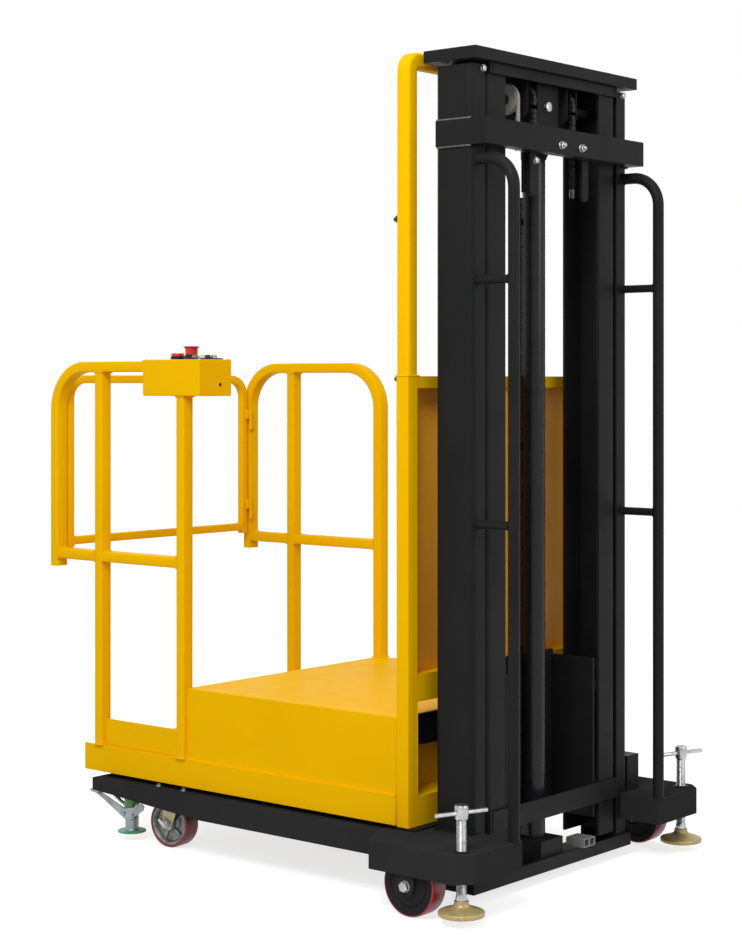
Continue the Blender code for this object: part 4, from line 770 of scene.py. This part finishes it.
def platform_welds():
    """Welds and end plates where the box, the deck and the rear frame meet."""
    shape = Shape()
    for way in (1, -1):
        shape.bead([(way * 0.3885, 0.2445, 0.2440), (way * 0.3885, -0.4500, 0.2440)], X, 0.0019)
        shape.bead([(way * 0.3885, -0.4505, 0.2500), (way * 0.3885, -0.4505, 0.4230)], X, 0.0014)
        shape.bead([(way * 0.3530, -0.4870, 0.2400), (way * 0.3530, -0.4870, 0.4600)], Y, 0.0012)
        shape.bead([(way * 0.3946, -0.4512, 0.1740), (way * 0.3946, -0.4512, 0.2430)], X, 0.0008)
        low, high = sorted((way * 0.3948, way * 0.3884))
        shape.block((low, -0.4535, 0.1724), (high, -0.4514, 0.2358), 0.0004)
    shape.bead([(-0.350, -0.4520, 0.5260), (0.350, -0.4520, 0.5260)], Y, 0.0010)
    shape.bead([(-0.3850, 0.2455, 0.2368), (0.3850, 0.2455, 0.2368)], Y, 0.0014)
    shape.done("platform_welds", YELLOW, "carriage", "yellow_paint")


def inner_sheets():
    """The rear face of the panel, an orange sheet of painted shade, and the tray round the power
    unit.
    """
    # A thin orange sheet of painted shade over the panel's rear face, standing in for the shaded
    # recess.
    sheet = Shape().block((-0.3526, -0.4562, 0.5265), (0.3526, -0.4546, 1.1985), 0.0004)
    sheet.done("painted_shade_sheet", PAINTED_SHADE_YELLOW, "carriage", "yellow_paint")
    left, right, rear, front, thick = -0.3480, -0.0450, -0.4022, -0.1350, 0.0028
    foot, rim = 0.2366, 0.3350
    tray = Shape()
    for low, high in (((left, rear - thick, foot), (right, rear, rim)),
                      ((left, rear, foot), (left + thick, front, rim)),
                      ((right - thick, rear, foot), (right, front, rim))):
        tray.block(low, high, 0.0008)
    tray.done("battery_tray", YELLOW, "carriage", "yellow_paint")


def controls():
    """Buttons, switches, screws and the cable hole of the control box."""
    top = 1.272
    stop = Matrix.Translation((-0.350, 0.266, top + 0.0003))
    Shape().lathe([(0.0, 0.0336), (0.0150, 0.0338), (0.0205, 0.0340), (0.0210, 0.0334),
                   (0.0210, 0.0316), (0.0202, 0.0308), (0.0176, 0.0292), (0.0164, 0.0262),
                   (0.0162, 0.0130), (0.0, 0.0130)], stop, 48).done(
        "stop_mushroom", SIGNAL_RED, "carriage", "red_plastic", ["stop_button"])
    push = Matrix.Translation((-0.350, 0.3165, top))
    Shape().lathe([(0.0, 0.0170), (0.0150, 0.0168), (0.0168, 0.0160), (0.0174, 0.0146),
                   (0.0174, 0.0085), (0.0, 0.0085)], push, 40).done(
        "red_push_button", SIGNAL_RED, "carriage")
    dark = Shape().lathe([(0.0, 0.0090), (0.0180, 0.0090), (0.0188, 0.0082), (0.0188, 0.0),
                          (0.0, 0.0)], push, 40)
    dark.lathe([(0.0, 0.0128), (0.0150, 0.0128), (0.0172, 0.0112), (0.0180, 0.0080),
                (0.0180, 0.0), (0.0, 0.0)], stop, 40)
    dark.block((-0.395, 0.2000, top), (-0.300, 0.2430, top + 0.0035), 0.001)
    dark.lathe([(0.0, 0.0), (0.0042, 0.0), (0.0042, 0.0012), (0.0030, 0.0014), (0.0024, 0.0004),
                (0.0, 0.0004)], toward(-Y, (-0.3290, 0.183, 1.2072)), 24)
    dark.done("control_bezel", GLOSS_BLACK, "carriage")
    tags = ((-0.381, 0.2215, GREY_PLASTIC, "grey_key"), (-0.358, 0.2215, WHITE_PLASTIC, "white_key"),
            (-0.335, 0.2215, NAVY, "dark_key"), (-0.312, 0.2215, ZINC, "key_switch"))
    for x, y, material, name in tags:
        place = Matrix.Translation((x, y, top + 0.0034))
        Shape().lathe([(0.0, 0.0085), (0.0062, 0.0085), (0.0074, 0.0076), (0.0076, 0.0040),
                       (0.0092, 0.0034), (0.0094, 0.0), (0.0, 0.0)], place, 32).done(
            name, material, "carriage")
    screws = Shape()
    for x in (-0.3985, -0.2925):
        for y in (0.1900, 0.3855):
            screws.dome((x, y, top), Z, 0.0032)
    screws.done("control_screws", ZINC, "carriage", "zinc_plate")


side_rails()
gate()
guard()
platform_welds()
inner_sheets()
controls()


# Mast fittings


def handles():
    """Bent round tubes with welded standoffs."""
    seat, y, top, bottom = -0.6313, -0.736, 1.733, 0.1623
    for name, side in SIDES:
        x = side * 0.311
        path = arc_path([(x, seat, top), (x, y, top), (x, y, bottom)], [0.0, 0.072, 0.0], 16)
        shape = Shape().sweep(path, circle(0.014, 32), X)
        for z in (0.884, 1.451):
            shape.sweep([(x, y + 0.010, z), (x, seat, z)], circle(0.010, 24), X)
            shape.collar((x, y + 0.0134, z), X, Z, Y, 0.0108)
            shape.collar((x, seat - 0.0006, z), X, Z, Y, 0.0105)
        shape.collar((x, seat - 0.0006, top), X, Z, Y, 0.0145, 0.0022, 16)
        shape.collar((x, y, bottom + 0.0010), X, Y, Z, 0.0145, 0.0022, 16)
        shape.done(f"grab_handle_{name}", BLACK, "chassis", "black_paint", [f"handle_{name}"])


def mast_welds():
    """Bright welds of the band and painted welds of the base."""
    welds, light = Shape(), Shape()
    band_high, band_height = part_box("mast_band")[1], 0.0616
    band_foot = band_high.z - band_height
    for way in (1, -1):
        face = way * 0.3342
        for z in (band_high.z + 0.0004, band_foot - 0.0004):
            light.bead([(face, MAST_REAR_Y + 0.002, z), (face, band_high.y - 0.002, z)], X, 0.0030)
        light.bead([(way * 0.3320, band_high.y + 0.0004, band_foot + 0.004),
                    (way * 0.3320, band_high.y + 0.0004, band_high.z - 0.004)], X, 0.0025)
        welds.bead([(way * 0.3318, MAST_REAR_Y + 0.012, 0.1632),
                    (way * 0.3318, MAST_FRONT_Y - 0.012, 0.1632)], X, 0.0026)
        welds.bead([(way * 0.2945, -0.4185, 0.1612), (way * 0.4170, -0.4185, 0.1612)], Y, 0.0016)
        welds.bead([(way * 0.284, MAST_REAR_Y - 0.0010, 0.0584),
                    (way * 0.318, MAST_REAR_Y - 0.0010, 0.0584)], Y, 0.0024)
    light.done("band_welds", WELD, "chassis")
    welds.done("chassis_welds", BLACK, "chassis", "black_paint")


def mast_bolts():
    """Zinc bolts of the outer mast, the band and the near chain's hanger."""
    fixed = Shape()
    for way in (1, -1):
        x = -0.2900 if way < 0 else 0.3065
        fixed.bolt((x, MAST_REAR_Y, 1.9465), -Y, 0.0085)
        fixed.bolt((x, MAST_FRONT_Y, 1.9465), Y, 0.0085)
    fixed.bolt((-0.104, -0.6490, 1.746), -Y, 0.0092, stud=0.002)
    for x in (-0.033, 0.053):
        fixed.bolt((x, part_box("mast_band")[0].y, 1.786), -Y, 0.0098, stud=0.006)
    fixed.done("mast_bolts", ZINC, "chassis", "zinc_plate")


def cylinder_fittings():
    """The cylinder's gland and oil pipe with its clips, and the strap beside the hanger."""
    black = Shape()
    black.lathe([(0.0200, 1.7900), (0.0300, 1.7900), (0.0322, 1.7880), (0.0322, 1.7625),
                 (0.0300, 1.7600), (0.0286, 1.7600), (0.0286, 1.7822), (0.0200, 1.7822)],
                Matrix.Translation((0.0, -0.571, 0.0)), 48, closed=True)
    black.bolt((0.0, -0.6020, 1.7720), -Y, 0.0105, washer=False)
    black.lathe([(0.0, 1.6680), (0.0036, 1.6674), (0.0042, 1.6660), (0.0042, 0.0990), (0.0, 0.0990)],
                Matrix.Translation((-0.0215, -0.5462, 0.0)), 24)
    for z in (0.55, 1.05, 1.60):
        black.block((-0.0275, -0.5525, z), (-0.0155, -0.5400, z + 0.014), 0.0008)
    black.block((-0.1300, -0.6330, 1.6680), (-0.1065, -0.6260, 1.7642), 0.0012)
    for z in (1.6830, 1.7050):
        black.dome((-0.1250, -0.6332, z), -Y, 0.0030)
    black.done("cylinder_gland", BLACK, "chassis", "black_paint")


def deck_rests_with_painted_shade():
    """Pads on the outriggers under the lowered deck, run wide as black blocks of painted shade under
    the deck's rear corners.
    """
    # The pads are real rests, made wider than a rest so their black stands in for the shadow under
    # the deck.
    rest = Shape()
    for way in (1, -1):
        low, high = sorted((way * 0.3870, way * 0.2680))
        rest.block((low, -0.5050, 0.1622), (high, -0.4520, 0.1672), 0.0010)
    rest.done("deck_rests_with_painted_shade", BLACK, "chassis", "black_paint")


def inner_mast_fittings():
    """Welds of the inner mast, its rod's cap and the sheaves' bolts."""
    tie = Shape()
    for way in (1, -1):
        for low, high in ((0.157, 0.207), (1.9372, 1.9632)):
            tie.bead([(way * 0.2610, -0.6396, low + 0.002), (way * 0.2610, -0.6396, high - 0.002)],
                     Y, 0.0018)
    tie.bead([(-0.050, SHEAVE_Y - 0.0312, 1.9630), (0.050, SHEAVE_Y - 0.0312, 1.9630)], Y, 0.0020)
    tie.done("inner_mast_welds", BLACK, "inner_mast", "black_paint")

    moving = Shape()
    moving.lathe([(0.0, 0.0080), (0.0100, 0.0078), (0.0124, 0.0062), (0.0132, 0.0020),
                  (0.0136, 0.0), (0.0, 0.0)], toward(-Y, (0.0, SHEAVE_Y - 0.031, 1.887)), 40)
    for middle in (CHAIN_X, -CHAIN_X):
        for way in (1, -1):
            moving.bolt((middle + way * CHEEK_OUT, SHEAVE_Y, SHEAVE_Z), X * way, 0.009,
                        washer=False)
    moving.done("sheave_bolts", ZINC, "inner_mast", "zinc_plate")


def sheave_plates():
    """Cheek plates on both sides of each chain sheave."""
    shape = Shape()
    for way in (1, -1):
        for offset in (-CHEEK_OUT, CHEEK_OUT - 0.0022):
            shape.plate([(-0.047, 1.9630), (-0.047, 1.8640), (-0.026, 1.8420), (0.026, 1.8420),
                         (0.047, 1.8640), (0.047, 1.9630)], 0.0022,
                        upright(way * CHAIN_X + offset, SHEAVE_Y), 0.0007)
    shape.done("sheave_cheeks", BLACK, "inner_mast", "black_paint")


def hose_wheel():
    """The nylon sheave with a rounded groove."""
    place = toward(X, (HOSE_X, SHEAVE_Y, SHEAVE_Z))
    half = 0.007
    outer = [(0.0350, half), (0.0350, half - 0.0012), (0.0318, 0.0040), (0.0298, 0.0020),
             (0.0292, 0.0), (0.0298, -0.0020), (0.0318, -0.0040), (0.0350, -half + 0.0012),
             (0.0350, -half), (0.0315, -half), (0.0300, -half + 0.0014), (0.0190, -half + 0.0014),
             (0.0175, -half), (0.0124, -half), (0.0124, half), (0.0175, half),
             (0.0190, half - 0.0014), (0.0300, half - 0.0014), (0.0315, half)]
    Shape().lathe(outer, place, 64, closed=True).done(
        "hose_pulley", BEIGE, "inner_mast", "grey_plastic", ["hose_sheave"])


handles()
mast_welds()
mast_bolts()
cylinder_fittings()
deck_rests_with_painted_shade()
inner_mast_fittings()
sheave_plates()
hose_wheel()

# Chains and hose


def chain_links(shape, path):
    """Leaf chain along a path in the plane of Y and Z: plates in rows on pins."""
    pitch, height, plate = 0.0127, 0.0115, 0.0017
    lengths = [0.0]
    for first, second in zip(path, path[1:]):
        lengths.append(lengths[-1] + (second - first).length)
    total = lengths[-1]

    def at(distance):
        for index in range(len(path) - 1):
            if distance <= lengths[index + 1] or index == len(path) - 2:
                span = lengths[index + 1] - lengths[index]
                return path[index].lerp(path[index + 1], (distance - lengths[index]) / span)

    count = int(total / pitch)
    for index in range(count):
        first, second = at(index * pitch), at((index + 1) * pitch)
        along = (second - first).normalized()
        middle = (first + second) / 2
        out = along.cross(X)
        turn = Matrix((X, along, out)).transposed().to_4x4()
        place = Matrix.Translation(middle) @ turn
        offsets = (-0.0054, -0.0018, 0.0018, 0.0054) if index % 2 else (-0.0036, 0.0, 0.0036)
        for offset in offsets:
            across = offset - plate / 2
            outline = []
            for end, angle_from in ((1, 0.0), (-1, math.pi)):
                for step in range(5):
                    angle = math.pi * step / 4
                    outline.append((end * (pitch / 2 + height / 2 * 0.96 * math.sin(angle)),
                                    height / 2 * math.cos(angle_from + angle)))
            shape.plate(outline, plate, place @ upright(across), 0.0)
        pin = toward(X, first)
        shape.lathe(both_faces([(0.0, 0.0071), (0.0016, 0.0071), (0.0021, 0.0067)]), pin, 10)


def chains():
    """Each chain: over the sheave with the inner mast, and two straight runs taken off their bodies.
    """
    reach = SHEAVE_RADIUS + 0.0063
    for name, side in SIDES:
        x = side * CHAIN_X
        wrap = Shape()
        chain_links(wrap, [Vector((x, SHEAVE_Y - reach, SHEAVE_Z - 0.020))]
                    + over_sheave(x, reach) + [Vector((x, SHEAVE_Y + reach, SHEAVE_Z - 0.020))])
        wrap.done(f"chain_wrap_{name}", OILED, "inner_mast", "oiled_steel", [f"lift_chain_{name}"])
        rear = Shape()
        low = 1.690
        chain_links(rear, [Vector((x, SHEAVE_Y - reach, low)),
                           Vector((x, SHEAVE_Y - reach, SHEAVE_Z - 0.012))])
        rear.lathe([(0.0, 0.0), (0.0065, 0.0), (0.0065, -0.022), (0.0, -0.022)],
                   Matrix.Translation((x, SHEAVE_Y - reach, low)), 20)
        item = rear.done(f"chain_rear_{name}", OILED, "chassis", "oiled_steel")
        stretch(item, "chassis", "inner_mast", (x, SHEAVE_Y, low), (x, SHEAVE_Y, SHEAVE_Z - 0.012))
        front = Shape()
        low = 0.5045
        chain_links(front, [Vector((x, SHEAVE_Y + reach, low)),
                            Vector((x, SHEAVE_Y + reach, SHEAVE_Z - 0.012))])
        item = front.done(f"chain_front_{name}", OILED, "inner_mast", "oiled_steel")
        stretch(item, "inner_mast", "carriage", (x, SHEAVE_Y, SHEAVE_Z - 0.012), (x, SHEAVE_Y, low))
    clevis = Shape()
    for way in (1, -1):
        clevis.bolt((way * CHAIN_X, SHEAVE_Y + reach, 0.4700), -Z, 0.009, stud=0.010)
    clevis.done("chain_nuts", ZINC, "carriage", "zinc_plate")


def hose():
    """The hose: over its sheave with the inner mast, and two straight runs taken off their bodies.
    """
    x, reach, section = HOSE_X, 0.0355, circle(0.005, 20)
    rear, front = SHEAVE_Y - reach, SHEAVE_Y + reach
    middle = SHEAVE_Z - 0.012
    ends = [Vector((x, rear, middle)), Vector((x, front, middle))]
    Shape().sweep([ends[0]] + over_sheave(x, reach) + [ends[1]], section, X).done(
        "hose_wrap", HOSE, "inner_mast", "hose_rubber", ["lift_hose"])
    low = 1.778
    path = [Vector((x, rear, low + (middle - low) * step / 8)) for step in range(9)]
    run = Shape().sweep(path, section, X).done("hose_rear", HOSE, "chassis", "hose_rubber")
    stretch(run, "chassis", "inner_mast", (x, SHEAVE_Y, low + 0.004), (x, SHEAVE_Y, middle))
    anchor = 0.5045
    path = [Vector((x, front, anchor + (middle - anchor) * step / 24)) for step in range(25)]
    run = Shape().sweep(path, section, X).done("hose_front", HOSE, "inner_mast", "hose_rubber")
    stretch(run, "inner_mast", "carriage", (x, SHEAVE_Y, middle), (x, SHEAVE_Y, anchor + 0.004))
    for name, body, y, z in (("rear", "chassis", rear, low), ("front", "carriage", front, anchor)):
        fitting = Shape().lathe([(0.0, 0.020), (0.0062, 0.020), (0.0070, 0.018), (0.0070, 0.0),
                                 (0.0, 0.0)], Matrix.Translation((x, y, z - 0.002)), 24)
        fitting.lathe([(0.0, 0.0), (0.0080, 0.0), (0.0086, -0.001), (0.0086, -0.009),
                       (0.0080, -0.010), (0.0, -0.010)], Matrix.Translation((x, y, z)), 6)
        fitting.done(f"hose_fitting_{name}", ZINC, body, "zinc_plate")


def stretch(item, first, second, start, end):
    """Take a run of chain or hose off its body and bake its place into its mesh."""
    item.parent = None
    del item["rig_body"]
    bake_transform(item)


chains()
hose()


# Camera, light and floor


def look():
    """The camera that fits the photograph."""
    data = bpy.data.cameras.new("camera")
    data.sensor_fit = "AUTO"
    data.sensor_width = 36.0
    data.lens = 75.93
    data.shift_y = -0.0981
    data.clip_start = 0.1
    data.clip_end = 100.0
    camera = bpy.data.objects.new("camera", data)
    camera.location = (-4.0254, -3.4156, 1.2183)
    camera.rotation_euler = (math.radians(90.0), 0.0, math.radians(-50.093))
    bpy.context.scene.collection.objects.link(camera)
    bpy.context.scene.camera = camera


def seen_ray(tree):
    """1 for what the camera, a reflection or a clear material sees, and 0 for light."""
    path = tree.nodes.new("ShaderNodeLightPath")
    seen = path.outputs["Is Camera Ray"]
    for output in ("Is Glossy Ray", "Is Transmission Ray"):
        node = tree.nodes.new("ShaderNodeMath")
        node.operation = "MAXIMUM"
        tree.links.new(seen, node.inputs[0])
        tree.links.new(path.outputs[output], node.inputs[1])
        seen = node.outputs[0]
    return seen


def world():
    """Even grey light that shows as white to the camera and in reflections."""
    item = bpy.data.worlds.new("studio")
    item.use_nodes = True
    tree = item.node_tree
    tree.nodes.clear()
    light = tree.nodes.new("ShaderNodeBackground")
    light.inputs["Color"].default_value = (0.97, 0.98, 1.0, 1.0)
    light.inputs["Strength"].default_value = 0.62
    white = tree.nodes.new("ShaderNodeBackground")
    white.inputs["Color"].default_value = (1.0, 1.0, 1.0, 1.0)
    white.inputs["Strength"].default_value = 1.0
    mix = tree.nodes.new("ShaderNodeMixShader")
    output = tree.nodes.new("ShaderNodeOutputWorld")
    tree.links.new(seen_ray(tree), mix.inputs[0])
    tree.links.new(light.outputs[0], mix.inputs[1])
    tree.links.new(white.outputs[0], mix.inputs[2])
    tree.links.new(mix.outputs[0], output.inputs["Surface"])
    bpy.context.scene.world = item


def floor():
    """A pale floor that keeps a soft shadow."""
    mesh = bmesh.new()
    bmesh.ops.create_circle(mesh, cap_ends=True, segments=64, radius=14.0)
    data = bpy.data.meshes.new("floor")
    mesh.to_mesh(data)
    mesh.free()
    item = bpy.data.objects.new("floor", data)
    bpy.context.scene.collection.objects.link(item)
    item.location.z = -0.0004
    material = bpy.data.materials.new("pale_floor")
    material.use_nodes = True
    tree = material.node_tree
    shader = tree.nodes["Principled BSDF"]
    shader.inputs["Base Color"].default_value = (0.50, 0.50, 0.50, 1.0)
    shader.inputs["Roughness"].default_value = 0.9
    shader.inputs["Specular IOR Level"].default_value = 0.0
    shader.inputs["Emission Color"].default_value = (1.0, 1.0, 1.0, 1.0)
    lift = tree.nodes.new("ShaderNodeMath")
    lift.operation = "MULTIPLY"
    lift.inputs[1].default_value = 0.74
    tree.links.new(seen_ray(tree), lift.inputs[0])
    tree.links.new(lift.outputs[0], shader.inputs["Emission Strength"])
    data.materials.append(material)


def lamp(name, location, target, size, energy):
    """A large soft lamp that faces a point."""
    data = bpy.data.lights.new(name, "AREA")
    data.shape = "DISK"
    data.size = size
    data.energy = energy
    item = bpy.data.objects.new(name, data)
    item.location = location
    item.rotation_mode = "QUATERNION"
    item.rotation_quaternion = (Vector(target) - Vector(location)).to_track_quat("-Z", "Y")
    bpy.context.scene.collection.objects.link(item)


look()
world()
floor()
lamp("key_light", (-3.4, -1.6, 4.2), (0.0, 0.0, 0.8), 2.4, 154.0)
lamp("rear_light", (0.8, -4.8, 2.4), (0.0, -0.6, 1.0), 2.0, 40.0)
lamp("front_fill", (1.5, 4.5, 3.0), (0.0, 0.0, 0.8), 2.5, 60.0)

bpy.context.scene.view_settings.view_transform = "Standard"

bpy.context.view_layer.update()
